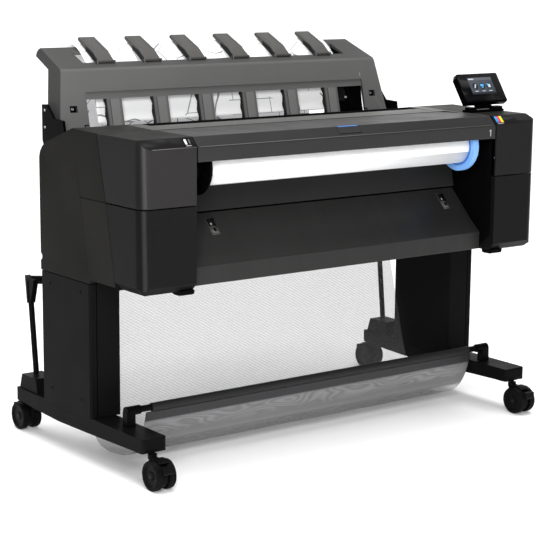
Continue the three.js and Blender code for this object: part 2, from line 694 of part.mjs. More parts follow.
function stackerBracket() {
  const side = [
    [283, 700], [300, 690], [360, 760], [417, 861], [417, 963], [388, 965], [352, 927], [300, 925],
    [283, 845],
  ];
  return prism("x", side, 606, 614);
}

add("stacker_hood", stackerHood(), "hood");
add("stacker_bin", stackerBin(), "panel");
addPair("stacker_bracket", stackerBracket(), "tyre");
fingerPositions.forEach((x, i) => add(`stacker_finger_${i + 1}`, finger(x), "hood"));
add("printed_sheet", prism("x", strip(SHEET_SIDE, 1.2, 40), -457, 457), "paper");

// ---------------------------------------------------------------- touch panel
function displayHousing() {
  const { halfWidth, height, depth } = DISPLAY;
  const side = [
    [-depth / 2, 2], [-depth / 2 + 3, 0], [depth / 2, 0], [depth / 2, height],
    [-depth / 2 + 2, height], [-depth / 2, height - 2],
  ];
  const front = [
    [-halfWidth, 2], [-halfWidth + 2, 0], [halfWidth - 2, 0], [halfWidth, 2], [halfWidth, height - 2],
    [halfWidth - 2, height], [-halfWidth + 10, height], [-halfWidth, height - 14],
  ];
  const plate = common(prism("x", side, -halfWidth, halfWidth), prism("y", front, -depth, depth));
  const knuckle = box(-38, 26, 3, 12, -10.5, 30);
  return join(plate, knuckle);
}

function displayBase() {
  const { x, y } = DISPLAY;
  const plinth = box(x - 72, x + 66, y - 12, y + 24, TOP_Z + GAP, TOP_Z + 7);
  const lug = (left, right) => box(left, right, y - 8, y + 16, TOP_Z + 6, 940);
  return join(plinth, lug(x - 70, x - 42), lug(x + 30, x + 64));
}

const housing = add("display_housing", displayHousing(), "glass", { roughness: 0.2, metalness: 0 });
housing.position.set(DISPLAY.x, DISPLAY.y, DISPLAY.z);
housing.rotation.x = THREE.MathUtils.degToRad(-DISPLAY.tilt);
add("display_base", displayBase(), "tyre");

// ---------------------------------------------------------------- origin
const bounds = new THREE.Box3().setFromObject(assembly, true);
assembly.position.set(0, -(bounds.min.y + bounds.max.y) / 2, -bounds.min.z);

const plotter = new THREE.Group();
plotter.add(assembly);

export default plotter;
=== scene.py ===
"""Looks of the large format plotter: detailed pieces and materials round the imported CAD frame."""

import math
import random

import bmesh
import bpy
from mathutils import Matrix, Vector


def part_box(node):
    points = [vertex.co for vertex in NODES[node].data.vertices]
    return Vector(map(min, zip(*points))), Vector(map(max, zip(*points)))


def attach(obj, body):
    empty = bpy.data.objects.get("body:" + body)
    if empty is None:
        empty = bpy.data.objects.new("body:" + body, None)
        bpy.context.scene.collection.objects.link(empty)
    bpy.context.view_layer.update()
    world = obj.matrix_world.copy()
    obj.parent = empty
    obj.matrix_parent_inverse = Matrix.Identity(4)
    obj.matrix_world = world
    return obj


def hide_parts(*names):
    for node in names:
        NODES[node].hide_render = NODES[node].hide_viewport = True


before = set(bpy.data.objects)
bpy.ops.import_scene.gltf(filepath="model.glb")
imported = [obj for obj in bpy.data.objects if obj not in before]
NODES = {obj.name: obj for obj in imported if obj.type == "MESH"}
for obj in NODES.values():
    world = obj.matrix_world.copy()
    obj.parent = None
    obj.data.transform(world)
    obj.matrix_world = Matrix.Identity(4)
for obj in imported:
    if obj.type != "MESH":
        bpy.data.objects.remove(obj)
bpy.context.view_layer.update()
ROOT = "plotter_frame"

# The layout is in millimetres, x to the right, y to the rear and z up, with its floor at LAYOUT_FLOOR.
# FOOT_FRONT is the front end of the feet in it; both place the layout in the row frame.
LAYOUT_FLOOR = 12
FOOT_FRONT = -231
SHIFT_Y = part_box("foot_right")[0].y * 1000 - FOOT_FRONT


def at(x, y, z):
    """A layout point, in millimetres, as a point of the row frame, in metres."""
    return Vector((x / 1000, (y + SHIFT_Y) / 1000, (z - LAYOUT_FLOOR) / 1000))


# ---- camera
# Solved from the photograph's edges; the place is a layout point.
CAMERA_AT = (-2951.7, -3788.8, 1392.65)
CAMERA_YAW = math.radians(37.0)
CAMERA_PITCH = math.radians(-10.87)
CAMERA_ROLL = math.radians(0.51)
FOCAL_MM = 110.22
SENSOR_MM = 36
CLIP_END = 100


def make_camera():
    """The photograph's camera, from its place, its three turns and its focal length."""
    data = bpy.data.cameras.new("camera")
    data.lens = FOCAL_MM
    data.sensor_width = SENSOR_MM
    data.clip_end = CLIP_END
    camera = bpy.data.objects.new("camera", data)
    forward = Vector((
        math.sin(CAMERA_YAW) * math.cos(CAMERA_PITCH),
        math.cos(CAMERA_YAW) * math.cos(CAMERA_PITCH),
        math.sin(CAMERA_PITCH),
    ))
    level = Vector((math.cos(CAMERA_YAW), -math.sin(CAMERA_YAW), 0))
    upright = level.cross(forward)
    right = level * math.cos(CAMERA_ROLL) + upright * math.sin(CAMERA_ROLL)
    up = upright * math.cos(CAMERA_ROLL) - level * math.sin(CAMERA_ROLL)
    turn = Matrix((right, up, -forward)).transposed()
    camera.matrix_world = Matrix.Translation(at(*CAMERA_AT)) @ turn.to_4x4()
    bpy.context.scene.collection.objects.link(camera)
    bpy.context.scene.camera = camera


make_camera()


# ---- materials
class Nodes:
    """A short way to write a material's node tree."""

    def __init__(self, name):
        self.material = bpy.data.materials.new(name)
        self.material.use_nodes = True
        self.tree = self.material.node_tree
        self.tree.nodes.clear()
        self.output = self.tree.nodes.new("ShaderNodeOutputMaterial")

    def add(self, kind, inputs=None, **settings):
        """A node of a kind, with its settings, and its inputs given as values or as other nodes' outputs."""
        node = self.tree.nodes.new("ShaderNode" + kind)
        for key, value in settings.items():
            setattr(node, key, value)
        for key, value in (inputs or {}).items():
            self.put(node.inputs[key], value)
        return node

    def put(self, socket, value):
        if isinstance(value, bpy.types.NodeSocket):
            self.tree.links.new(value, socket)
        else:
            socket.default_value = value

    def math(self, operation, a, b=0.0):
        return self.add("Math", {0: a, 1: b}, operation=operation).outputs[0]

    def times(self, a, b):
        return self.math("MULTIPLY", a, b)

    def minus(self, a, b):
        return self.math("SUBTRACT", a, b)

    def mix(self, factor, a, b):
        """A colour between two colours."""
        return self.add("Mix", {0: factor, 6: a, 7: b}, data_type="RGBA").outputs[2]

    def axes(self, vector):
        """The three parts of a vector."""
        return self.add("SeparateXYZ", {0: vector}).outputs

    def normal(self):
        return self.add("NewGeometry").outputs["Normal"]

    def rubbed(self, low, high, share):
        """How far a point is on a worn, rubbed edge."""
        edges = self.add("NewGeometry").outputs["Pointiness"]
        return self.times(self.ramp(edges, low, high), share)

    def mapped(self, where, **turn):
        return self.add("Mapping", {"Vector": where, **turn}).outputs[0]

    def place(self, which="Object"):
        return self.add("TexCoord").outputs[which]

    def noise(self, scale, detail=2.0, where=None, rough=0.5):
        inputs = {"Scale": scale, "Detail": detail, "Roughness": rough}
        inputs["Vector"] = where or self.place()
        return self.add("TexNoise", inputs).outputs["Fac"]

    def ramp(self, value, low, high, to_low=0.0, to_high=1.0):
        """A value carried from one range to another, and held at its ends."""
        inputs = {"Value": value, "From Min": low, "From Max": high, "To Min": to_low, "To Max": to_high}
        return self.add("MapRange", inputs).outputs[0]

    def bump(self, height, strength, distance):
        inputs = {"Height": height, "Strength": strength, "Distance": distance}
        return self.add("Bump", inputs).outputs["Normal"]

    def finish(self, shader):
        """Joins a shader to the output and gives the material."""
        self.tree.links.new(shader.outputs[0], self.output.inputs["Surface"])
        return self.material

    def principled(self, inputs):
        """Finishes the material with one principled shader."""
        return self.finish(self.add("BsdfPrincipled", inputs))


def rgb(*values):
    """A colour with its alpha."""
    return (*values, 1.0)


def scaled(colour, factor):
    """A colour made lighter or darker, with its alpha."""
    return tuple(min(1.0, c * factor) for c in colour[:3]) + (1.0,)


PAINTED_HIGHLIGHT_FACING = (0.62, 0.785)  # the facing, outwards and forwards, of the part of a rounded corner that gets the painted highlight


def moulded_plastic(name, colour, roughness, sheen, grain=0.25, dust=0.06, streaks=0.0, painted_top_light=1.0, painted_side_light=1.0,
                    corner=0.0):
    """Moulded plastic: a fine spark-eroded grain, slow colour drift, and paler rubbed edges.

    The factors for faces that look up and for faces that look sideways scale their colour as painted light
    and shade;
    `corner` is a painted highlight, a sheen that rises on rounded upright corners, and `streaks` adds pale
    flow lines across x.
    """
    n = Nodes(name)
    normal = n.axes(n.normal())
    sideways = n.math("ABSOLUTE", normal[0])
    slow = n.noise(6.0, 4.0)
    fine = n.noise(1500.0, 3.0, rough=0.7)
    drift = n.mix(slow, scaled(colour, 1 - dust), scaled(colour, 1 + dust * 2))
    if streaks:
        flow = n.mapped(n.place(), Scale=(42.0, 1.2, 1.2))
        drift = n.mix(n.ramp(n.noise(1.0, 3.0, flow), 0.4, 0.72, 0.0, streaks), drift, scaled(colour, 2.6))
    speckle = n.mix(n.ramp(fine, 0.35, 0.75, 0.0, 0.25), drift, scaled(colour, 1.5))
    worn = n.mix(n.rubbed(0.53, 0.6, 0.35), speckle, scaled(colour, 2.2))
    # Painted light and shade: faces that look up or sideways get a lighter or darker colour.
    if painted_top_light != 1:
        worn = n.mix(n.ramp(normal[2], 0.55, 0.85), worn, scaled(colour, painted_top_light))
    if painted_side_light != 1:
        worn = n.mix(n.ramp(sideways, 0.5, 0.9), worn, scaled(colour, painted_side_light))
    # Painted highlight: the sheen rises only on rounded upright corners that face the way set above.
    if corner:
        outwards = n.times(sideways, PAINTED_HIGHLIGHT_FACING[0])
        forwards = n.times(normal[1], PAINTED_HIGHLIGHT_FACING[1])
        sheen = n.ramp(n.minus(outwards, forwards), 0.972, 0.994, sheen, corner)
    return n.principled({
        "Base Color": worn,
        "Roughness": n.ramp(n.noise(9.0, 3.0), 0.3, 0.7, roughness - 0.05, roughness + 0.06),
        "Specular IOR Level": sheen,
        "Normal": n.bump(fine, grain, 0.0003),
    })


def painted_steel(name, colour, roughness, sheen):
    """Powder coat: orange-peel waves and a few dull patches."""
    n = Nodes(name)
    peel = n.noise(420.0, 2.0)
    patches = n.noise(12.0, 5.0, rough=0.6)
    base = n.mix(patches, scaled(colour, 0.9), scaled(colour, 1.15))
    return n.principled({
        "Base Color": n.mix(n.rubbed(0.54, 0.62, 0.3), base, scaled(colour, 2.5)),
        "Roughness": n.ramp(patches, 0.3, 0.7, roughness - 0.06, roughness + 0.08),
        "Specular IOR Level": sheen,
        "Normal": n.bump(peel, 0.25, 0.0006),
    })


def bare_steel(name):
    """Zinc-plated steel, brushed along x, with faint spangles."""
    n = Nodes(name)
    brushed = n.noise(3.0, 4.0, n.mapped(n.place(), Scale=(2.0, 260.0, 260.0)))
    spangle = n.add("TexVoronoi", {"Vector": n.place(), "Scale": 60.0}).outputs["Distance"]
    return n.principled({
        "Base Color": n.mix(spangle, rgb(0.42, 0.43, 0.45), rgb(0.56, 0.57, 0.6)),
        "Metallic": 1.0,
        "Roughness": n.ramp(brushed, 0.3, 0.7, 0.3, 0.48),
        "Normal": n.bump(brushed, 0.15, 0.0004),
    })


def rubber(name):
    """Black rubber with a fine texture and a little dust."""
    n = Nodes(name)
    fine = n.noise(900.0, 3.0)
    dusty = n.noise(30.0, 5.0)
    return n.principled({
        "Base Color": n.mix(n.ramp(dusty, 0.4, 0.75), rgb(0.003, 0.003, 0.003), rgb(0.008, 0.008, 0.0078)),
        "Roughness": n.ramp(dusty, 0.3, 0.7, 0.42, 0.62),
        "Specular IOR Level": 0.04,
        "Normal": n.bump(fine, 0.3, 0.0004),
    })


def plan_drawing(n, where):
    """Ink of a generic plan: wall lines in some regions, cells in others and contours between them."""
    walls = {"Vector": where, "Scale": 9.0, "Mortar Size": 0.012, "Mortar Smooth": 0.0}
    walls |= {"Brick Width": 0.62, "Row Height": 0.41}
    plan = n.add("TexBrick", walls, offset=0.37, squash=1.6).outputs["Fac"]
    cells = n.add("TexVoronoi", {"Vector": where, "Scale": 13.0}, feature="DISTANCE_TO_EDGE").outputs[0]
    contour = n.math("PINGPONG", n.times(n.noise(3.1, 2.0, where), 9.0), 0.5)
    lines = n.math("LESS_THAN", cells, 0.016)
    rings = n.math("LESS_THAN", contour, 0.045)
    region = n.noise(2.3, 1.0, n.mapped(where, Location=(5.2, 1.3, 0)))
    here = n.math("GREATER_THAN", region, 0.53)
    there = n.math("LESS_THAN", region, 0.44)
    between = n.times(n.minus(1.0, here), n.minus(1.0, there))
    ink = n.math("MAXIMUM", n.times(plan, here), n.times(lines, there))
    return n.math("MAXIMUM", ink, n.times(rings, between))


def printed_paper(name):
    """Coated plotter paper with a generic drawing laid out in the sheet's own UVs, and a faint painted glow.
    """
    n = Nodes(name)
    fibre = n.noise(700.0, 5.0, rough=0.7)
    white = n.mix(n.noise(25.0, 4.0), rgb(0.86, 0.865, 0.875), rgb(0.9, 0.9, 0.9))
    ink = n.times(plan_drawing(n, n.place("UV")), 0.75)
    colour = n.mix(ink, white, rgb(0.06, 0.065, 0.075))
    return n.principled({
        "Base Color": colour,
        # Painted light: the paper glows faintly, so that it looks lit where the lamps barely reach it.
        "Emission Color": colour,
        "Emission Strength": 0.24,
        "Roughness": 0.62,
        "Normal": n.bump(fibre, 0.12, 0.0003),
    })


def rolled_paper(name, axis):
    """Blank paper wound on a core: plain white outside, fine rings of layers on the ends."""
    n = Nodes(name)
    place = n.axes(n.place())
    across = n.minus(place[1], axis.y)
    up = n.minus(place[2], axis.z)
    reach = n.math("SQRT", n.math("ADD", n.times(across, across), n.times(up, up)))
    layers = n.math("PINGPONG", n.times(reach, 1400.0), 0.5)
    on_end = n.math("GREATER_THAN", n.math("ABSOLUTE", n.axes(n.normal())[0]), 0.9)
    ring = n.times(n.times(layers, on_end), 0.9)
    fibre = n.noise(700.0, 5.0, rough=0.7)
    white = n.mix(n.noise(20.0, 4.0), rgb(0.88, 0.885, 0.895), rgb(0.92, 0.92, 0.92))
    return n.principled({
        "Base Color": n.mix(ring, white, rgb(0.55, 0.55, 0.56)),
        "Roughness": 0.6,
        "Normal": n.bump(n.math("ADD", fibre, ring), 0.15, 0.0004),
    })


def net_cloth(name, length):
    """Fine diagonal net: nearly clear behind, denser and darker where it turns up to the front bar."""
    n = Nodes(name)
    where = n.place("UV")
    from_front = n.minus(length, n.axes(where)[1])
    front = n.ramp(from_front, 0.125, 0.1)
    folded = n.ramp(from_front, 0.03, 0.026)
    diagonal = n.mapped(where, Rotation=(0, 0, math.radians(-33)), Scale=(125, 125, 125))
    weave = n.math("PINGPONG", n.axes(diagonal)[1], 0.5)
    stretched = n.mapped(where, Scale=(4.5, 15.0, 1.0))
    warped = n.add("TexNoise", {"Vector": stretched, "Scale": 1.0, "Detail": 1.5}).outputs["Fac"]
    ripples = n.math("PINGPONG", n.times(warped, 15.0), 0.5)
    band = n.times(n.ramp(from_front, 0.028, 0.036), n.ramp(from_front, 0.085, 0.06))
    shimmer = n.times(n.times(ripples, band), 0.8)
    wrinkles = n.times(n.noise(60.0, 3.0, stretched), folded)
    cover_back = n.ramp(weave, 0.0, 0.5, 0.315, 0.245)
    cover_front = n.minus(n.ramp(weave, 0.0, 0.5, 0.91, 0.83), n.times(shimmer, 0.26))
    cover = n.add("Mix", {0: front, 2: cover_back, 3: cover_front}, data_type="FLOAT").outputs[0]
    cover = n.math("MAXIMUM", cover, n.times(folded, 0.97))
    low = n.ramp(from_front, 0.07, 0.1)
    tone_front = n.mix(low, rgb(0.165, 0.163, 0.166), rgb(0.23, 0.228, 0.23))
    tone_front = n.mix(shimmer, tone_front, rgb(0.5, 0.5, 0.51))
    tone = n.mix(front, rgb(0.17, 0.17, 0.17), tone_front)
    fold = n.mix(n.ramp(wrinkles, 0.4, 0.8), rgb(0.008, 0.008, 0.009), rgb(0.09, 0.09, 0.095))
    tone = n.mix(folded, tone, fold)
    thread = n.add("BsdfPrincipled", {
        "Base Color": tone,
        "Roughness": 0.5,
        "Specular IOR Level": 0.3,
        "Normal": n.bump(n.math("ADD", wrinkles, shimmer), 0.3, 0.0008),
    })
    clear = n.add("BsdfTransparent", {0: rgb(1, 1, 1)})
    return n.finish(n.add("MixShader", {0: cover, 1: clear.outputs[0], 2: thread.outputs[0]}))


def glowing(name, colour):
    """A lit part of the screen, slightly uneven."""
    n = Nodes(name)
    return n.principled({
        "Base Color": scaled(colour, 0.3),
        "Roughness": 0.5,
        "Specular IOR Level": 0.05,
        "Emission Color": n.mix(n.noise(40.0, 1.0), scaled(colour, 0.95), scaled(colour, 1.05)),
        "Emission Strength": 1.0,
    })


def screen_glass(name):
    """Dark cover glass with smears."""
    n = Nodes(name)
    return n.principled({
        "Base Color": rgb(0.004, 0.004, 0.005),
        "Roughness": n.ramp(n.noise(14.0, 4.0), 0.3, 0.7, 0.2, 0.3),
        "Specular IOR Level": 0.05,
    })


# Each plastic's colour, roughness and sheen, and what else moulded_plastic is told about it; the colour
# factors for faces that look up or sideways are painted light and shade, and corner is a painted highlight.
PLASTICS = {
    "side": ((0.0088, 0.0086, 0.008), 0.42, 0.025, {"painted_top_light": 1.75}),
    "door": ((0.024, 0.0228, 0.0232), 0.36, 0.05, {"painted_side_light": 0.38, "corner": 0.27}),
    # Painted shade: the right door has the door's plastic made darker, as the light falls from the left.
    "door_right": ((0.0145, 0.014, 0.0142), 0.36, 0.04, {"painted_side_light": 0.8, "corner": 0.15}),
    "guide": ((0.02, 0.02, 0.0205), 0.38, 0.1, {}),
    # Painted shade: the darker skin laid on the doors' bevels.
    "bevel": ((0.0095, 0.0092, 0.0092), 0.3, 0.04, {}),
    "panel": ((0.0082, 0.0079, 0.0082), 0.36, 0.04, {"painted_side_light": 0.7, "corner": 0.2}),
    "lid": ((0.022, 0.0213, 0.0213), 0.4, 0.2, {}),
    "top": ((0.05, 0.05, 0.047), 0.44, 0.5, {}),
    "hood": ((0.13, 0.129, 0.1275), 0.5, 0.08, {"painted_top_light": 0.52, "painted_side_light": 0.4}),
    "finger": ((0.068, 0.066, 0.063), 0.42, 0.2, {}),
    # Painted shade: a darker copy of the finger's plastic for the steep front ends.
    "nose_shade": ((0.043, 0.042, 0.04), 0.42, 0.1, {}),
    "cheek": ((0.008, 0.008, 0.008), 0.45, 0.06, {}),
    "table": ((0.0165, 0.016, 0.0156), 0.36, 0.2, {"streaks": 0.12}),
    "black": ((0.0016, 0.0016, 0.0018), 0.36, 0.02, {}),
    "gloss": ((0.0012, 0.0012, 0.0015), 0.26, 0.018, {"grain": 0.08, "dust": 0.02}),
    "pale": ((0.3, 0.3, 0.3), 0.45, 0.3, {}),
    "caster": ((0.004, 0.004, 0.004), 0.36, 0.035, {"grain": 0.3}),
    "pedal": ((0.012, 0.012, 0.012), 0.45, 0.08, {}),
    "hub_blue": ((0.2, 0.42, 0.85), 0.36, 0.3, {"grain": 0.12}),
    # Painted shade: the hub's blue, darkened for its shadowed parts.
    "shaded_hub_blue": ((0.05, 0.17, 0.5), 0.4, 0.3, {"grain": 0.12}),
    "blue": ((0.06, 0.14, 0.33), 0.32, 0.1, {"grain": 0.12}),
    "cyan": ((0.0, 0.2, 0.6), 0.3, 0.3, {"grain": 0.05}),
    "magenta": ((0.7, 0.01, 0.07), 0.3, 0.3, {"grain": 0.05}),
    "yellow": ((0.95, 0.75, 0.01), 0.3, 0.3, {"grain": 0.05}),
    "white": ((0.75, 0.75, 0.75), 0.35, 0.3, {"grain": 0.05}),
    "hem": ((0.011, 0.011, 0.0115), 0.6, 0.3, {"grain": 0.5}),
}

# The colours of the lit parts of the screen.
LIT = {
    "screen": (0.06, 0.068, 0.082),
    "screen_bar": (0.11, 0.12, 0.135),
    "screen_disc": (0.018, 0.02, 0.026),
    "screen_blue": (0.1, 0.38, 0.75),
    "screen_white": (0.55, 0.62, 0.68),
}

ROLL_AXIS = (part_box("paper_roll")[0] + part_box("paper_roll")[1]) / 2
CLOTH_LENGTH = 0.789

MATERIALS = {
    "stand": painted_steel("stand_paint", (0.0055, 0.0052, 0.0054), 0.38, 0.02),
    "bars": painted_steel("bar_paint", (0.0028, 0.0028, 0.003), 0.32, 0.03),
    "steel": bare_steel("zinc_steel"),
    "rubber": rubber("caster_rubber"),
    "paper": rolled_paper("roll_paper", ROLL_AXIS),
    "print": printed_paper("printed_paper"),
    "net": net_cloth("basket_net", CLOTH_LENGTH),
    "glass": screen_glass("screen_glass"),
}
for key, (colour, roughness, sheen, more) in PLASTICS.items():
    MATERIALS[key] = moulded_plastic(f"{key}_plastic", colour, roughness, sheen, **more)
for key, colour in LIT.items():
    MATERIALS[key] = glowing(f"{key}_light", colour)


# ---- building helpers
def link(name, mesh, material, body=ROOT):
    """Adds a piece that rides on a body, with a material."""
    piece = bpy.data.objects.new(name, mesh)
    bpy.context.scene.collection.objects.link(piece)
    piece.data.materials.append(MATERIALS[material])
    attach(piece, body)
    return piece


MERGE_M = 1e-6
WELD_M = 2e-5


def mesh_of(name, points, faces):
    """A mesh with no doubled points and its faces turned outwards."""
    mesh = bpy.data.meshes.new(name)
    mesh.from_pydata([tuple(p) for p in points], [], faces)
    bm = bmesh.new()
    bm.from_mesh(mesh)
    bmesh.ops.remove_doubles(bm, verts=bm.verts, dist=MERGE_M)
    bmesh.ops.recalc_face_normals(bm, faces=bm.faces)
    bm.to_mesh(mesh)
    bm.free()
    for polygon in mesh.polygons:
        polygon.use_smooth = True
    return mesh


def soften(piece, width, segments=3, angle=28, weld=False):
    """Rounds the edges of a piece by `width` millimetres and evens out its shading."""
    if weld:
        piece.modifiers.new("weld", "WELD").merge_threshold = WELD_M
    bevel = piece.modifiers.new("edges", "BEVEL")
    bevel.width = width / 1000
    bevel.segments = segments
    bevel.limit_method = "ANGLE"
    bevel.angle_limit = math.radians(angle)
    bevel.use_clamp_overlap = True
    for polygon in piece.data.polygons:
        polygon.use_smooth = True
    even = piece.modifiers.new("shading", "WEIGHTED_NORMAL")
    even.keep_sharp = True
    even.weight = 80
    return piece


def extrusion(name, near, far, material, body, round_mm):
    """A closed piece between two outlines of the same number of points, with rounded edges."""
    count = len(near)
    faces = [tuple(range(count)), tuple(range(2 * count - 1, count - 1, -1))]
    faces += [(i, (i + 1) % count, count + (i + 1) % count, count + i) for i in range(count)]
    piece = link(name, mesh_of(name, near + far, faces), material, body)
    return soften(piece, round_mm, 2) if round_mm else piece


def rectangle(x0, x1, y0, y1):
    """The four corners of a rectangle, anticlockwise."""
    return [(x0, y0), (x1, y0), (x1, y1), (x0, y1)]


def block(name, xs, ys, zs, material, body=ROOT, round_mm=0.8):
    """A moulded block between two layout corners."""
    near, far = ([at(x, y, z) for x, y in rectangle(*xs, *ys)] for z in zs)
    return extrusion(name, near, far, material, body, round_mm)


def prism_x(name, outline, xs, material, body=ROOT, round_mm=0.8):
    """A closed outline of layout (y, z) points, pushed along X."""
    near, far = ([at(x, y, z) for y, z in outline] for x in xs)
    return extrusion(name, near, far, material, body, round_mm)


def plate(name, corners, thickness, material, body=ROOT, round_mm=0.0):
    """A slab on a face: layout corners, anticlockwise from outside, pushed out along their normal."""
    a, b, c = (Vector(corner) for corner in corners[:3])
    out = (b - a).cross(c - a).normalized() * thickness
    near = [at(*corner) for corner in corners]
    far = [at(*(Vector(corner) + out)) for corner in corners]
    return extrusion(name, near, far, material, body, round_mm)


AXES = {"x": (1, 2, 0), "y": (2, 0, 1), "z": (0, 1, 2)}  # the axes across, up and along a turned piece


def turned(name, profile, centre, material, body=ROOT, axis="x", sides=48, round_mm=0.6):
    """A turned piece about an axis through a layout point; the profile is a loop of (radius, station)."""
    points = []
    faces = []
    count = len(profile)
    across, up, along = AXES[axis]
    for i in range(sides):
        angle = 2 * math.pi * i / sides
        for radius, station in profile:
            point = list(centre)
            point[across] += radius * math.cos(angle)
            point[up] += radius * math.sin(angle)
            point[along] += station
            points.append(at(*point))
    for i in range(sides):
        for j in range(count):
            here, ahead = i * count, (i + 1) % sides * count
            faces.append((here + j, here + (j + 1) % count, ahead + (j + 1) % count, ahead + j))
    piece = link(name, mesh_of(name, points, faces), material, body)
    return soften(piece, round_mm, 2, 35) if round_mm else piece


def screw(name, centre, axis, out, material="steel", radius=3.6):
    """A pan-head screw with a socket; `out` is 1 or -1, the way its head points along the axis."""
    head = [(0, 0.1), (0.42, 0.1), (0.45, 0.32), (0.8, 0.3), (1, 0.12), (1, -0.2), (0, -0.2)]
    profile = [(radius * r, out * radius * s) for r, s in head]
    return turned(name, profile, centre, material, ROOT, axis, 20, 0)


def dress(names, material, round_mm):
    """Gives CAD nodes their material and rounds their edges."""
    for name in names:
        node = NODES[name]
        node.data.materials.clear()
        node.data.materials.append(MATERIALS[material])
        if round_mm:
            soften(node, round_mm, 3, 28, weld=True)


SIDES = {"left": -1, "right": 1}  # the way that each side lies along x
CASTERS = [f"{end}_{side}" for end in ("front", "rear") for side in SIDES]
FINGERS = range(1, 7)


def both(name):
    """A node's two names, left and right."""
    return [f"{name}_{side}" for side in SIDES]


dress(both("foot"), "stand", 3)
dress(both("pedestal"), "stand", 2)
dress(["cross_brace"], "stand", 1)
dress([f"caster_{part}_{name}" for part in ("fork", "brake") for name in CASTERS], "caster", 1.2)
dress(both("basket_post") + both("basket_elbow"), "bars", 1.5)
dress(["basket_rear_bar", "basket_front_bar"], "bars", 0)
dress(both("side_cover"), "side", 2)
dress(["ink_door_left"], "door", 2.2)
dress(["ink_door_right"], "door_right", 2.2)
dress(both("lower_cover"), "panel", 2.2)
dress(both("ink_cartridges"), "gloss", 1.5)
dress(["carriage_rail"], "steel", 0)
dress(["chassis"], "black", 0)
dress(["output_table"], "table", 2)
dress(["rear_cover", "stacker_bin", "print_carriage"], "panel", 1.5)
dress(["paper_guide"], "guide", 0.8)
dress(["top_cover"], "top", 1)
dress(["roll_cover"], "lid", 1.5)
dress(["roll_cover_latch"], "lid", 0.8)
dress(["power_inlet", "spindle_hub_left", "display_base"] + both("stacker_bracket"), "black", 1)
dress(["spindle"], "steel", 0.6)
dress(["spindle_hub_right"], "hub_blue", 1)
dress(["feed_roller"], "rubber", 0)
dress(["stacker_hood"], "hood", 2)
dress([f"stacker_finger_{i}" for i in FINGERS], "finger", 3)
dress(["display_housing"], "gloss", 2)
dress(["paper_roll"], "paper", 0)


# ---- casters
def layout_box(name):
    """A node's lowest and highest corners as layout points in millimetres."""
    shift = Vector((0, SHIFT_Y, -LAYOUT_FLOOR))
    return [corner * 1000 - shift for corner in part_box(name)]


def around(centre, radius, degrees, way=1):
    """Layout (y, z) at an angle about a centre, measured up from the rear, or the front if way is -1."""
    angle = math.radians(degrees)
    return centre.y + way * radius * math.cos(angle), centre.z + radius * math.sin(angle)


TYRE = [(30, 11), (38.4, 9.4), (40, 12), (40, 18.4), (39.2, 19), (39.2, 20), (40, 20.6), (40, 26),
        (38.8, 28.8), (36, 30), (31.4, 30), (30, 28.6)]
HUB = [(5, 9.6), (30.4, 11), (30.4, 28), (27.4, 28), (26, 25.4), (12.6, 24.6), (11, 27.4), (5, 27.6)]
CAP = [(0, 26), (5.6, 26), (5.6, 28), (4.6, 29), (0, 29.4)]
WHEEL_PARTS = {"tyre": (TYRE, "rubber"), "hub": (HUB, "caster"), "cap": (CAP, "pedal")}
AXLE = [(0, -10), (5, -10), (5, 10), (0, 10)]
GUARD_ANGLES = [56 + 6 * i for i in range(17)]
GUARD_RADII = (41.6, 44.2)


def caster(name):
    """Twin tyres on dished hubs, a mudguard over the gap between them and a ribbed pedal."""
    low, high = layout_box(f"caster_wheels_{name}")
    centre = (low + high) / 2
    out = -1 if name.startswith("front") else 1
    wheels = f"caster_wheels_{name}"
    pieces = []
    for label, side in SIDES.items():
        for part, (profile, material) in WHEEL_PARTS.items():
            stations = [(r, side * s) for r, s in profile]
            part_name = f"caster_{part}_{name}_{label}"
            pieces.append(turned(part_name, stations, centre, material, wheels, sides=64))
    pieces.append(turned(f"caster_axle_{name}", AXLE, centre, "steel", wheels, sides=24))
    for piece in pieces:
        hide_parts(wheels)

    inner, outer = ([around(centre, radius, a, out) for a in GUARD_ANGLES] for radius in GUARD_RADII)
    xs = (centre.x - 16, centre.x + 16)
    prism_x(f"caster_guard_{name}", inner + outer[::-1], xs, "caster", f"caster_fork_{name}", 0.6)
    xs = (centre.x - 15, centre.x + 15)
    for i in range(3):
        y, z = around(centre, 48.2, 16 + 8 * i, out)
        rib = rectangle(y - 1, y + 1, z - 1, z + 1)
        prism_x(f"caster_pedal_rib_{name}_{i + 1}", rib, xs, "pedal", f"caster_brake_{name}", 0.4)


for name in CASTERS:
    caster(name)


# ---- covers and labels
FRONT_Y = -241
BEVEL_LOW, BEVEL_DEEP, BEVEL_HIGH = 900, 24, 25  # the lower edge of the top front bevel, and its run and rise
SIDE_X = 700
SEAM_Z = 748
SHOULDER_Z = 901  # where the slanted outer edge of the right module starts
SHOULDER_SLOPE = 27 / 24
DOOR_CORNER = 32
DOOR_INNER_X = 532.5


def on_bevel(share):
    """Layout (y, z) on the bevel along the top front edge, from 0 at its lower edge to 1 at its upper."""
    return FRONT_Y + BEVEL_DEEP * share, BEVEL_LOW + BEVEL_HIGH * share


def bevel_plate(name, xs, shares, material, body, thickness=0.5):
    """A thin rectangle on the top front bevel."""
    low, high = (on_bevel(share) for share in shares)
    corners = [(xs[0], *low), (xs[1], *low), (xs[1], *high), (xs[0], *high)]
    return plate(name, corners, thickness, material, body)


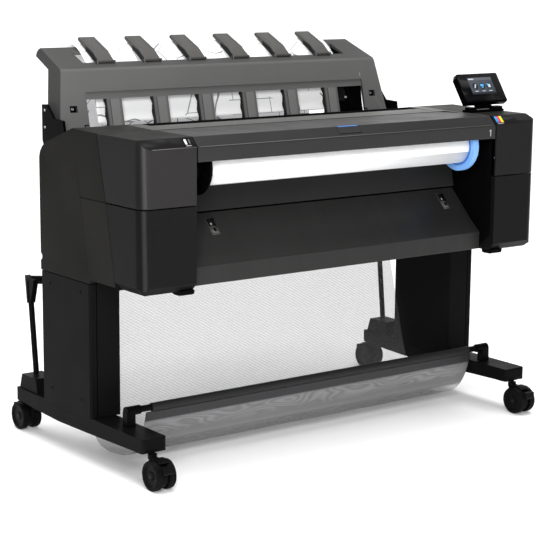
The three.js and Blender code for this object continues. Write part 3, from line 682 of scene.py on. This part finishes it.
def door_bevels():
    """A darker skin of painted shade along the bevel of each door, following the rounded corner in plan."""
    low, high, steps = 0.04, 0.96, 6
    for label, side in SIDES.items():
        edge = []
        for k in range(steps + 1):
            y, z = on_bevel(low + (high - low) * k / steps)
            x = SIDE_X - DOOR_CORNER + math.sqrt(DOOR_CORNER ** 2 - (y - FRONT_Y - DOOR_CORNER) ** 2)
            if label == "right":
                x = min(x, SIDE_X - 0.5 - (z - SHOULDER_Z) * SHOULDER_SLOPE)
            edge.append((x, y, z))
        outline = [(DOOR_INNER_X, *on_bevel(low)), *edge, (DOOR_INNER_X, *on_bevel(high))]
        corners = [(side * x, y, z) for x, y, z in outline][::side]
        plate(f"door_bevel_{label}", corners, 0.3, "bevel", f"ink_door_{label}")


def edge_highlights():
    """Paler lines of painted highlight along the lower edges of the bevels."""
    bevel_plate("door_edge_highlight", (-667, -533), (-0.03, 0.03), "finger", "ink_door_left", 0.35)
    bevel_plate("lid_edge_highlight", (-522, 516), (-0.03, 0.02), "finger", "roll_cover_lid", 0.35)


def ink_labels():
    """Ink stickers on the bevel of each door."""
    left, right = "ink_door_left", "ink_door_right"
    bevel_plate("ink_label_left_back", (-566, -540), (0.1, 0.86), "black", left, 0.4)
    bevel_plate("ink_label_left_white", (-562, -555), (0.3, 0.78), "white", left)
    bevel_plate("ink_label_left_black", (-554, -550), (0.3, 0.78), "black", left)
    bevel_plate("ink_label_left_grey", (-549, -544), (0.3, 0.78), "finger", left)
    bevel_plate("ink_label_left_bar", (-562, -544), (0.14, 0.2), "pale", left)
    for i, ink in enumerate(("cyan", "magenta", "yellow")):
        x = 537 + 9.5 * i
        bevel_plate(f"ink_label_right_{ink}", (x, x + 9), (0.22, 0.88), ink, right)
    bevel_plate("ink_label_right_bar", (538, 562), (0.08, 0.13), "pale", right)


def lid_marks():
    """The generic numeral of the roll on the lid's front lip."""
    stem = rectangle(505.5, 508.5, 868, 887)
    flag = [(502, 882), (505.5, 883.5), (505.5, 887), (502, 885)]
    for part, points in (("stem", stem), ("flag", flag)):
        plate(f"numeral_{part}", [(x, FRONT_Y, z) for x, z in points], 0.4, "pale", "roll_cover_lid")


def latch_inlay():
    """The coloured finger strip of the lid's latch, folded over its front edge."""
    low, high = layout_box("roll_cover_latch")
    xs = (low.x + 5, high.x - 5)
    outline = [(-216.5, 922.3), (-215.2, 923.9), (-209, 923.9)]
    outline += [(-209, 924.7), (-215.6, 924.7), (-217.1, 922.9)]
    prism_x("latch_inlay", outline, xs, "blue", "roll_cover_latch", 0.2)


def ramp_skin():
    """The black skin over the ramp behind the top cover, and the dark gap between it and the lid."""
    outline = [(65, 897), (100, 926.2), (153, 911.8), (153, 912.9), (100, 927.4), (65, 898.2)]
    prism_x("ramp_skin", outline, (-483.5, 483.5), "black", round_mm=0.4)
    prism_x("lid_gap_strip", rectangle(-39.8, -34.6, 919, 922.5), (-486, 486), "black", round_mm=0)


def side_creases():
    """A soft bead down each side cover, where the moulding changes plane."""
    line = [(87, 839), (64, SEAM_Z), (28, 546)]
    outline = [(y - 0.9, z) for y, z in line] + [(y + 0.9, z) for y, z in reversed(line)]
    for label, side in SIDES.items():
        xs = (side * (SIDE_X - 0.6), side * (SIDE_X + 0.35))
        prism_x(f"side_crease_{label}", outline, xs, "side", round_mm=0.25)


def inner_feet():
    """The dark tabs under the inner corners of the lower covers."""
    outline = [(-233, 527), (-190, 527), (-192, 516), (-200, 513.5), (-226, 513.5), (-232, 517)]
    for label, side in SIDES.items():
        prism_x(f"inner_tab_{label}", outline, (side * 533, side * 577), "black", round_mm=1.2)


TABLE_AT = (-159, 608.7)
TABLE_SLOPE = 88.5 / 88
TABLE_NORMAL = 0.7


def table_catches():
    """Recessed slide catches near the ends of the output table."""
    def tile(name, xs, ys, material, lift, thickness):
        """A plate parallel to the sloping table, `lift` millimetres off it."""
        corners = []
        for x, y in rectangle(*xs, *ys):
            z = TABLE_AT[1] + (y - TABLE_AT[0]) * TABLE_SLOPE
            corners.append((x, y - TABLE_NORMAL * lift, z + TABLE_NORMAL * lift))
        plate(name, corners, thickness, material)

    for label, x in (("left", -400), ("right", 440)):
        tile(f"table_catch_frame_{label}", (x, x + 27), (-124, -84), "top", 0, 0.6)
        tile(f"table_catch_well_{label}", (x + 1.5, x + 25.5), (-122.5, -85.5), "panel", 0.5, 0.4)
        tile(f"table_catch_slide_{label}", (x + 4, x + 24), (-121.5, -104), "finger", 0.9, 0.8)
        tile(f"table_catch_slot_{label}", (x + 9, x + 17), (-117, -109), "black", 1.7, 0.3)
        tile(f"table_catch_pin_{label}", (x + 8, x + 12), (-101, -97), "pale", 0.9, 1.4)


door_bevels()
edge_highlights()
ink_labels()
lid_marks()
latch_inlay()
ramp_skin()
side_creases()
inner_feet()
table_catches()


# ---- roll
PAPER_EDGE_ANGLES = [196 + 3 * i for i in range(17)]
WEB_SHAPE = [(31, -5), (70, -1.6), (70, 1.6), (31, 5)]


def roll_details():
    """A loose paper edge, a ring of painted shadow on the coloured flange beside the paper, and the webs on
    the flanges' backs, the right ones in the flange's blue darkened as painted shade.
    """
    low, high = layout_box("paper_roll")
    centre = (low + high) / 2
    radius = (high.z - low.z) / 2
    first, last = PAPER_EDGE_ANGLES[0], PAPER_EDGE_ANGLES[-1]
    edge = [around(centre, radius + 0.1, a) for a in PAPER_EDGE_ANGLES]
    for a in reversed(PAPER_EDGE_ANGLES):
        edge.append(around(centre, radius + 0.35 + 0.9 * (a - first) / (last - first), a))
    prism_x("paper_edge", edge, (low.x + 0.5, high.x - 0.5), "paper", "media_roll", 0)
    collar = [(radius + 0.6, -0.2), (radius + 7, -0.2), (radius + 8, 0.6), (radius + 0.6, 0.6)]
    # Painted shadow: a darker ring on the flange where the paper shades it.
    turned("hub_shadow_ring_right", collar, (high.x + 0.1, centre.y, centre.z), "shaded_hub_blue", "media_roll")
    rim = [(70, -1.2), (74.6, -1.2), (75.2, 0.2), (70, 0.6)]
    turned("hub_rim_right", rim, (high.x + 1, centre.y, centre.z), "hub_blue", "media_roll", sides=72)
    for label, side in SIDES.items():
        # The right webs take the darkened blue of painted shade.
        material = "black" if label == "left" else "shaded_hub_blue"
        x = side * (high.x + 20.4)
        for i in range(6):
            web = [around(centre, reach, 60 * i + 20 + turn) for reach, turn in WEB_SHAPE]
            prism_x(f"hub_web_{label}_{i + 1}", web, (x, x + side * 5), material, "media_roll", 0.5)


roll_details()


# ---- stacker
HOOD_AT = (330, 870)  # layout (y, z) of a point on the hood's sloping face
HOOD_LEAN = 44 / 184
WINDOW_RIGHTS = (-435, -275.5, -116, 43.5, 203, 362.5)  # the right edge of each window but the last
SHEET_HALF = 457
MOUTH_HALF = 480


def hood_at(z, depth=0.0):
    """Layout (y, z) on the hood's sloping face at a height, or `depth` millimetres behind it."""
    return HOOD_AT[0] + (z - HOOD_AT[1]) * HOOD_LEAN + depth, z


def hood_strip(z0, z1, d0, d1):
    """The side outline of a plate parallel to the hood's face."""
    return [hood_at(z0, d0), hood_at(z1, d0), hood_at(z1, d1), hood_at(z0, d1)]


def window_guides():
    """A wavy guide plate behind the right edge of each window, from the hood's wall to the sheet."""
    steps, notched = 22, (16, 17, 18)
    heights = [880 + 100 * k / steps for k in range(steps + 1)]
    front = [hood_at(z, 8.4) for z in heights]
    depths = [24 + 2.4 * math.sin(k * 0.75) - (4 if k in notched else 0) for k in range(steps + 1)]
    back = [hood_at(z, depth) for z, depth in zip(heights, depths)]
    for i, x in enumerate(WINDOW_RIGHTS):
        prism_x(f"window_guide_{i + 1}", front + back[::-1], (x + 0.6, x + 3.4), "cheek", round_mm=0.4)


def window_mechanism():
    """The dark drive bracket seen through the last window."""
    for part, strip, xs, material in (
        ("plate", (872, 986, 26, 28.5), (406, 524), "black"),
        ("post", (874, 984, 12, 20), (461, 467), "gloss"),
        ("rail", (902, 907, 10, 25), (440, 512), "gloss"),
        ("cover", (930, 984, 18, 25), (418, 450), "panel"),
        ("window", (944, 962, 15, 19), (438, 452), "cheek"),
        ("arm", (908, 940, 14, 17), (470, 492), "black"),
        ("pin", (938, 944, 10, 16), (446, 452), "pale"),
    ):
        prism_x(f"drive_{part}", hood_strip(*strip), xs, material)


def hood_details():
    """Screws in dark wells, hooks beside the windows and a small painted highlight on the hood's face."""
    for label, side in SIDES.items():
        prism_x(f"hood_screw_well_{label}", hood_strip(936, 965, 8.6, 12), (side * 535, side * 563), "black")
        screw(f"hood_screw_{label}", (side * 549, *hood_at(950.5, 8.2)), "y", -1, radius=4.5)
    for label, side in SIDES.items():
        post, tip = ((side * near, side * far) for near, far in ((517.5, 521), (505.5, 517.5)))
        prism_x(f"hood_hook_{label}", hood_strip(872, 906, -0.9, 0.6), post, "black", round_mm=0.3)
        prism_x(f"hood_hook_tip_{label}", hood_strip(903, 906, -0.9, 0.6), tip, "black", round_mm=0.3)
    # Painted highlight: a pale strip standing for a glint on the hood's face.
    prism_x("hood_glint", hood_strip(998, 1016, -0.5, 0.4), (508, 509.5), "pale", round_mm=0)


def mouth_shade_plates():
    """Black walls and shelves inside the ends of the hood's mouth, beside the sheet: painted shade for the
    dark openings there.
    """
    wall = [(413, 1046), (482, 1046), (482, 1094), (413, 1069)]
    shelf = rectangle(413, 482, 1043, 1046)
    for label, side in SIDES.items():
        end = side * (MOUTH_HALF - 0.2)
        prism_x(f"mouth_wall_{label}", wall, (end - side * 1.6, end), "black", round_mm=0)
        prism_x(f"mouth_shelf_{label}", shelf, (side * (SHEET_HALF + 4), end), "black", round_mm=0)


# The side outlines of a finger's cheeks and hook, from the lower front corner of the finger.
CHEEK = [(3, -1.5), (9, 1), (11, -3.6), (39, 14.4), (66, 30.5), (66, 42), (28, 26), (2, 4)]
HOOK = [(0, 1), (5, 2), (6, 12), (2, 9)]


def finger_details(i):
    """A raised top plate and painted shade on one stacker finger: a darker plate over its front end, dark
    lines for the two grooves along the top and dark cheeks for the recesses on its sides.
    """
    body = f"stacker_finger_{i}"
    low, high = layout_box(body)
    y, z = low.y + 4, low.z + 3.8
    x0, x1 = low.x, high.x

    def panel(name, xs, a, b, material, thickness, lift=0.0):
        """A plate across the finger from a to b, both (y, z) from its corner, `lift` millimetres off it."""
        along = (Vector(b) - Vector(a)).normalized()
        out = Vector((-along.y, along.x)) * lift
        front, rear = ((y + p.x, z + p.y) for p in (Vector(a) + out, Vector(b) + out))
        corners = [(xs[0], *front), (xs[1], *front), (xs[1], *rear), (xs[0], *rear)]
        plate(f"finger_{name}_{i}", corners, thickness, material, body, 0.3)

    def side_plate(name, outline, xs):
        prism_x(f"finger_{name}_{i}", [(y + a, z + b) for a, b in outline], xs, "cheek", body, 0.3)

    panel("top", (x0 + 3, x1 - 3), (33, 32.4), (102, 64.1), "finger", 0.9)
    # Painted shade: a darker plate over the steep front end.
    panel("nose_shade", (x0 + 0.6, x1 - 0.6), (-1.2, 5.7), (28.4, 29.7), "nose_shade", 0.8)
    # Painted shade: dark lines standing for the shade in the two grooves along the top.
    for label, x in (("left", x0 + 9), ("right", x1 - 10)):
        panel(f"line_{label}", (x, x + 1), (34, 32.9), (96, 61.4), "cheek", 0.35, 0.85)
    # Painted shade: dark cheek plates stand for the shaded recesses along the finger's sides.
    side_plate("cheek_left", CHEEK, (x0 - 0.8, x0 + 0.4))
    side_plate("cheek_right", CHEEK, (x1 - 0.4, x1 + 0.8))
    side_plate("hook", HOOK, (x0 - 3.2, x0 - 0.8))


window_guides()
window_mechanism()
hood_details()
mouth_shade_plates()
for i in FINGERS:
    finger_details(i)


# ---- back, stand and inside
REAR_Y = 282


def ring(name, xs, zs, wall, out, material):
    """A rectangular socket rim standing `out` millimetres off the back."""
    outer = rectangle(*xs, *zs)
    inner = rectangle(xs[0] + wall, xs[1] - wall, zs[0] + wall, zs[1] - wall)
    points = [at(x, REAR_Y + y, z) for y in (-0.5, out) for x, z in outer + inner]
    faces = []
    for i in range(4):
        j = (i + 1) % 4
        faces += [(i, j, 4 + j, 4 + i), (8 + i, 12 + i, 12 + j, 8 + j)]
        faces += [(i, 8 + i, 8 + j, j), (4 + i, 4 + j, 12 + j, 12 + i)]
    return soften(link(name, mesh_of(name, points, faces), material), 0.4, 2)


# Each service socket's left edge, width, lower edge and height.
PORTS = {"network": (300, 18, 570, 16), "usb": (330, 15, 574, 8), "service": (356, 20, 572, 12)}


def back_details():
    """Louvres, a seam, service sockets and screws on the rear cover."""
    for column, x in enumerate((-440, -290, -140)):
        for row in range(8):
            z = 790 - 10 * row
            slat = [(REAR_Y - 0.5, z), (REAR_Y + 1.6, z), (REAR_Y + 0.4, z + 5), (REAR_Y - 0.5, z + 5)]
            prism_x(f"louvre_{column + 1}_{row + 1}", slat, (x, x + 120), "black", round_mm=0.3)
    block("rear_seam", (-529, 529), (REAR_Y - 0.5, REAR_Y + 0.3), (699, 701), "black", round_mm=0)
    block("port_panel", (290, 386), (REAR_Y - 0.5, REAR_Y + 1.2), (556, 604), "black", round_mm=1)
    for name, (x, width, z, height) in PORTS.items():
        tongue = (x + 3, x + width - 3), (REAR_Y, REAR_Y + 2), (z + 3, z + 4.5)
        ring(f"{name}_port", (x, x + width), (z, z + height), 1.4, 3.2, "steel")
        block(f"{name}_tongue", *tongue, "pale", round_mm=0.2)
    ring("inlet_bezel", (404, 458), (560, 600), 4, 9.4, "black")
    for label, side in SIDES.items():
        for z in (545, 690, 712, 815):
            screw(f"rear_screw_{label}_{z}", (side * 515, REAR_Y, z), "y", 1)


def stand_details():
    """Screws on the pedestals, the brackets and the cross brace."""
    for label, side in SIDES.items():
        for y in (70, 232):
            for z in (190, 488):
                name = f"pedestal_screw_{label}_{y}_{z}"
                screw(name, (side * SIDE_X, y, z), "x", side, "bars", radius=4.5)
        for y in (115, 195):
            screw(f"brace_bolt_{label}_{y}", (side * 605, y, 493), "x", -side, radius=5)
        for y, z in ((318, 730), (318, 800), (400, 900), (400, 948)):
            screw(f"bracket_screw_{label}_{z}", (side * 614, y, z), "x", side, radius=4)


# The outside of the stacker bin, from the side, as layout (y, z).
BIN_TROUGH = [(412, 864), (416, 800), (440, 750), (490, 732), (540, 740), (566, 775), (571, 850), (571, 930)]
RIB_DEPTHS = (4.6, 6.4)


def bin_ribs():
    """Stiffening ribs moulded on the outside of the stacker bin, and its rolled lip."""
    curve, _ = spline(BIN_TROUGH, 40)
    inner, outer = ([tuple((p + out * depth)[:2]) for p, out in outwards(curve)] for depth in RIB_DEPTHS)
    for i in range(7):
        x = -420 + 140 * i
        prism_x(f"bin_rib_{i + 1}", inner + outer[::-1], (x - 2.5, x + 2.5), "panel", round_mm=0.5)
    block("bin_lip", (-466, 466), (569, 575.6), (926, 934), "panel", round_mm=1.5)


CARTRIDGE_INKS = {"left": ("white", "pale", "panel"), "right": ("cyan", "magenta", "yellow")}


def cartridge_labels():
    """A coloured ink label and a grip on each cartridge behind the doors."""
    for side, inks in CARTRIDGE_INKS.items():
        for i, ink in enumerate(inks):
            x = SIDES[side] * (571 + 44 * i)
            label, grip = (f"cartridge_{part}_{side}_{i + 1}" for part in ("label", "grip"))
            block(label, (x - 15, x + 15), (-197, -195.8), (853, 868), ink, round_mm=0.3)
            block(grip, (x - 10, x + 10), (-204.2, -202.6), (794, 800), "pale", round_mm=0.5)


INK_VALVE = [(0, 3.6), (3.6, 3.6), (4.4, 7.5), (3.2, 8.6), (0, 8.6)]


def carriage_details():
    """The carriage's cover, its latch and a row of ink valves."""
    body = "print_carriage"
    low, high = layout_box(body)
    middle = (low.x + high.x) / 2
    cover = (low.x + 6, high.x - 6), (low.y + 6, low.y + 52), (high.z - 0.4, high.z + 4)
    latch = (middle - 16, middle + 16), (low.y - 2.5, low.y + 0.4), (high.z - 34, high.z - 10)
    block("head_cover", *cover, "lid", body, 1.5)
    block("head_latch", *latch, "blue", body, 1.2)
    for i in range(6):
        place = (low.x + 17 + 16.4 * i, low.y + 29, high.z)
        turned(f"ink_valve_{i + 1}", INK_VALVE, place, "pale", body, "z", 20, 0.3)


# ---- touch panel
PANEL_AT = (606, -113, 949)
PANEL_TILT = math.radians(34)
PANEL_FACE = -9
GLASS = [(-82, 5), (82, 5), (82, 96), (-75, 96), (-82, 86)]
SCREEN_LEFT, SCREEN_RIGHT, SCREEN_LOW, SCREEN_HIGH = -44, 53, 27, 84
BUTTON_RADIUS = 10.5


def on_panel(u, v, lift=0.0):
    """A layout point on the touch panel's face: u to the right, v up the face."""
    depth = PANEL_FACE - lift
    y = PANEL_AT[1] + depth * math.cos(PANEL_TILT) + v * math.sin(PANEL_TILT)
    z = PANEL_AT[2] - depth * math.sin(PANEL_TILT) + v * math.cos(PANEL_TILT)
    return PANEL_AT[0] + u, y, z


def panel_shape(name, points, material, lift, thickness):
    """A thin shape on the touch panel's face."""
    return plate(name, [on_panel(u, v, lift) for u, v in points], thickness, material, "display")


def mark(name, u0, u1, v0, v1, material, lift=1.05, thickness=0.15):
    """A thin rectangle on the screen."""
    panel_shape(f"screen_{name}", rectangle(u0, u1, v0, v1), material, lift, thickness)


def disc_points(u, v, radius, sides=24):
    """A circle as a polygon."""
    turns = [2 * math.pi * k / sides for k in range(sides)]
    return [(u + radius * math.cos(a), v + radius * math.sin(a)) for a in turns]


def touch_panel():
    """Cover glass, a lit picture with three round buttons, and generic blank marks."""
    left, right, low, high = SCREEN_LEFT, SCREEN_RIGHT, SCREEN_LOW, SCREEN_HIGH
    middle = (low + high) / 2
    first, second, third = (left + (right - left) * share for share in (0.21, 0.51, 0.8))
    panel_shape("panel_glass", GLASS, "glass", 0, 0.8)
    mark("picture", left, right, low, high, "screen", 0.8, 0.25)
    mark("header", left, right, high - 9, high, "screen_bar")
    mark("footer", left, right, low, low + 6, "screen_disc")
    mark("title", left + 3, left + 24, high - 6.4, high - 3, "screen_white", 1.2, 0.1)
    for i, u in enumerate((first, second, third)):
        disc = disc_points(u, middle, BUTTON_RADIUS)
        panel_shape(f"screen_button_{i + 1}", disc, "screen_disc", 1.05, 0.15)
        mark(f"mark_{i + 1}", u - 7, u + 7, low + 10, low + 12, "screen_white")
    stroke = [(first + u, middle + v) for u, v in ((-5, -6), (-1, -7), (6, 5), (2, 7))]
    tray = [(second + u, middle + v) for u, v in ((-6, -2), (6, -2), (7, 6), (-7, 6))]
    panel_shape("screen_icon_1", stroke, "screen_white", 1.2, 0.1)
    panel_shape("screen_icon_2", tray, "screen_blue", 1.2, 0.1)
    mark("icon_2_foot", second - 4, second + 4, middle - 6.5, middle - 3.5, "screen_blue", 1.2, 0.1)
    mark("icon_3", third - 4, third + 6, middle - 6, middle + 5, "screen_white", 1.2, 0.1)
    mark("icon_3_corner", third - 7, third - 1, middle, middle + 7, "screen_blue", 1.3, 0.1)


touch_panel()


# ---- sheets
def spline(points, samples):
    """Points evenly spaced along a smooth curve through layout (y, z) points, and the curve's length."""
    knots = [Vector((*p, 0)) for p in points]
    knots = [knots[0] * 2 - knots[1], *knots, knots[-1] * 2 - knots[-2]]
    dense = []
    steps = 40
    for a, b, c, d in zip(knots, knots[1:], knots[2:], knots[3:]):
        for k in range(steps):
            t = k / steps
            dense.append(0.5 * (2 * b + (c - a) * t + (2 * a - 5 * b + 4 * c - d) * t * t
                                + (3 * b - 3 * c + d - a) * t ** 3))
    dense.append(knots[-2])
    lengths = [0.0]
    for p, q in zip(dense, dense[1:]):
        lengths.append(lengths[-1] + (q - p).length)
    total = lengths[-1]
    result = []
    j = 0
    for i in range(samples + 1):
        goal = total * i / samples
        while j < len(lengths) - 2 and lengths[j + 1] < goal:
            j += 1
        share = (goal - lengths[j]) / max(1e-9, lengths[j + 1] - lengths[j])
        result.append(dense[j].lerp(dense[j + 1], share))
    return result, total


def outwards(curve):
    """Each point of a curve with its normal."""
    for i, p in enumerate(curve):
        ahead = curve[min(i + 1, len(curve) - 1)] - curve[max(i - 1, 0)]
        yield p, Vector((ahead.y, -ahead.x, 0)).normalized()


def hang_sheet(name, side, samples, half, across, offset, thickness, material):
    """A thin sheet along a side outline; `offset(u, v)` moves a point off the outline.

    Gives the piece and its flat size: u runs across the sheet, v along the outline.
    """
    curve, total = spline(side, samples)
    points = []
    for i, (p, normal) in enumerate(outwards(curve)):
        for j in range(across + 1):
            u = j / across
            q = p + normal * offset(u, i / samples)
            points.append(tuple(at(half * (2 * u - 1), q.x, q.y)))
    faces = []
    for i in range(samples):
        for j in range(across):
            a = i * (across + 1) + j
            faces.append((a, a + 1, a + across + 2, a + across + 1))
    mesh = bpy.data.meshes.new(name)
    mesh.from_pydata(points, [], faces)
    flat = (2 * half / 1000, total / 1000)
    layer = mesh.uv_layers.new(name="sheet")
    for polygon in mesh.polygons:
        polygon.use_smooth = True
        for corner in polygon.loop_indices:
            i, j = divmod(mesh.loops[corner].vertex_index, across + 1)
            layer.data[corner].uv = (flat[0] * j / across, flat[1] * i / samples)
    piece = link(name, mesh, material)
    solid = piece.modifiers.new("thickness", "SOLIDIFY")
    solid.thickness = thickness
    solid.offset = 0
    return piece, flat


CLOTH_HALF = 596
CLOTH_SIDE = [
    (306, 457), (292, 400), (264, 300), (240, 214), (216, 135), (190, 70), (158, 34), (110, 21.5),
    (60, 23.5), (12, 31), (-30, 52), (-62, 92), (-82, 140), (-91, 175),
]
# Each hem's name, the layout (y, z) of its bar and its half length.
HEMS = (("front", -93, 187, 580), ("rear", 310, 471, 396))
HEM_RADII = (9.3, 11.5)


def basket_cloth():
    """The basket's cloth, hung with slack waves from bar to bar, and its hems round the bars."""
    random.seed(7)
    waves = []
    for _ in range(9):
        waves.append([random.uniform(*span) for span in ((2, 9), (1, 5), (0, 6.28), (0.3, 1.0))])

    def offset(u, v):
        slack = math.sin(math.pi * min(1, max(0, (v - 0.45) / 0.55))) ** 0.8
        edge = math.sin(math.pi * u) ** 0.35
        ripple = sum(a * math.sin(2 * math.pi * (f * u + g * v) + p) for f, g, p, a in waves) * 0.5
        fine = 0.5 * math.sin(2 * math.pi * (17 * u + 5 * v)) * max(0, v - 0.7) * 3
        return -1.5 - slack * edge * (0.8 * ripple + fine)

    piece, flat = hang_sheet("basket_net", CLOTH_SIDE, 150, CLOTH_HALF, 180, offset, 0.0006, "net")
    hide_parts("basket_cloth")
    inner, outer = HEM_RADII
    for name, y, z, half in HEMS:
        end = [(inner, -half), (outer, -half), (outer + 0.6, -half + 4), (outer, -half + 9)]
        profile = end + [(radius, -station) for radius, station in reversed(end)]
        turned(f"basket_hem_{name}", profile, (0, y, z), "hem", sides=36)


SHEET_SIDE = [
    (369, 905), (383, 952), (400, 1006), (421, 1050), (446, 1082), (474, 1104.5), (502, 1118.5), (527, 1121),
    (545, 1109), (553, 1080), (556, 1000), (557, 800),
]


def printed_sheet():
    """The printed sheet from behind the windows, over the hood and down into the bin."""
    def offset(u, v):
        return -0.6 + 1.2 * math.sin(2 * math.pi * 1.5 * u) * max(0, v - 0.55)

    piece, flat = hang_sheet("stacker_print", SHEET_SIDE, 90, SHEET_HALF, 60, offset, 0.0004, "print")
    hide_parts("printed_sheet")


basket_cloth()
printed_sheet()
back_details()
stand_details()
bin_ribs()
cartridge_labels()
carriage_details()


# ---- studio
FLOOR_REACH = 40
SUN_POWER = 3.4
SUN_SPREAD = math.radians(50)
# The sky's strength, between two ways of facing: 1 is straight away from the camera.
SKY = {"From Min": 0.3, "From Max": 0.85, "To Min": 0.05, "To Max": 1.1}
# Each lamp's name, place, what it faces, width, height and power.
LAMPS = [
    ("left_strip", (-2.7, -1.9, 1.3), (-0.4, 0, 0.75), 0.7, 2.0, 2),
    ("corner_strip", (-4.9, -5.2, 1.4), (-0.6, -0.2, 0.6), 0.55, 4.6, 150),
    ("front_soft", (-1.9, -2.5, 2.1), (-0.3, 0, 0.9), 1.6, 1.0, 62),
    ("back_soft", (-0.5, 3.6, 2.4), (0, 0, 0.8), 2.5, 1.5, 12),
]


def add_lamp(name, kind, place, power):
    """A lamp that looks down."""
    data = bpy.data.lights.new(name, kind)
    data.energy = power
    lamp = bpy.data.objects.new(name, data)
    lamp.location = place
    bpy.context.scene.collection.objects.link(lamp)
    return lamp


def studio():
    """A wide white floor under a soft overhead sun, a sky bright behind the object, and four soft lamps."""
    mesh = bpy.data.meshes.new("floor")
    corners = rectangle(-FLOOR_REACH, FLOOR_REACH, -FLOOR_REACH, FLOOR_REACH)
    mesh.from_pydata([(x, y, 0) for x, y in corners], [], [(0, 1, 2, 3)])
    floor = bpy.data.objects.new("floor", mesh)
    n = Nodes("floor_paint")
    tone = n.mix(n.noise(0.8, 2.0), rgb(0.9, 0.9, 0.9), rgb(0.92, 0.92, 0.92))
    mesh.materials.append(n.principled({
        "Base Color": tone,
        "Roughness": 0.9,
        "Specular IOR Level": 0.1,
        "Emission Color": tone,
        "Emission Strength": 0.17,
    }))
    bpy.context.scene.collection.objects.link(floor)

    world = bpy.data.worlds.new("studio")
    world.use_nodes = True
    tree = world.node_tree
    place = tree.nodes.new("ShaderNodeTexCoord")
    facing = tree.nodes.new("ShaderNodeVectorMath")
    facing.operation = "DOT_PRODUCT"
    facing.inputs[1].default_value = (math.sin(CAMERA_YAW), math.cos(CAMERA_YAW), 0)
    strength = tree.nodes.new("ShaderNodeMapRange")
    for socket, value in SKY.items():
        strength.inputs[socket].default_value = value
    tree.links.new(place.outputs["Generated"], facing.inputs[0])
    tree.links.new(facing.outputs["Value"], strength.inputs["Value"])
    tree.links.new(strength.outputs[0], tree.nodes["Background"].inputs["Strength"])
    tree.nodes["Background"].inputs["Color"].default_value = rgb(1, 1, 1)
    bpy.context.scene.world = world

    add_lamp("sun", "SUN", (0, 0, 4), SUN_POWER).data.angle = SUN_SPREAD
    for name, place, target, width, height, power in LAMPS:
        lamp = add_lamp(name, "AREA", place, power)
        lamp.data.shape = "RECTANGLE"
        lamp.data.size = width
        lamp.data.size_y = height
        lamp.rotation_euler = (Vector(target) - Vector(place)).to_track_quat("-Z", "Y").to_euler()


studio()
bpy.context.scene.view_settings.view_transform = "Standard"
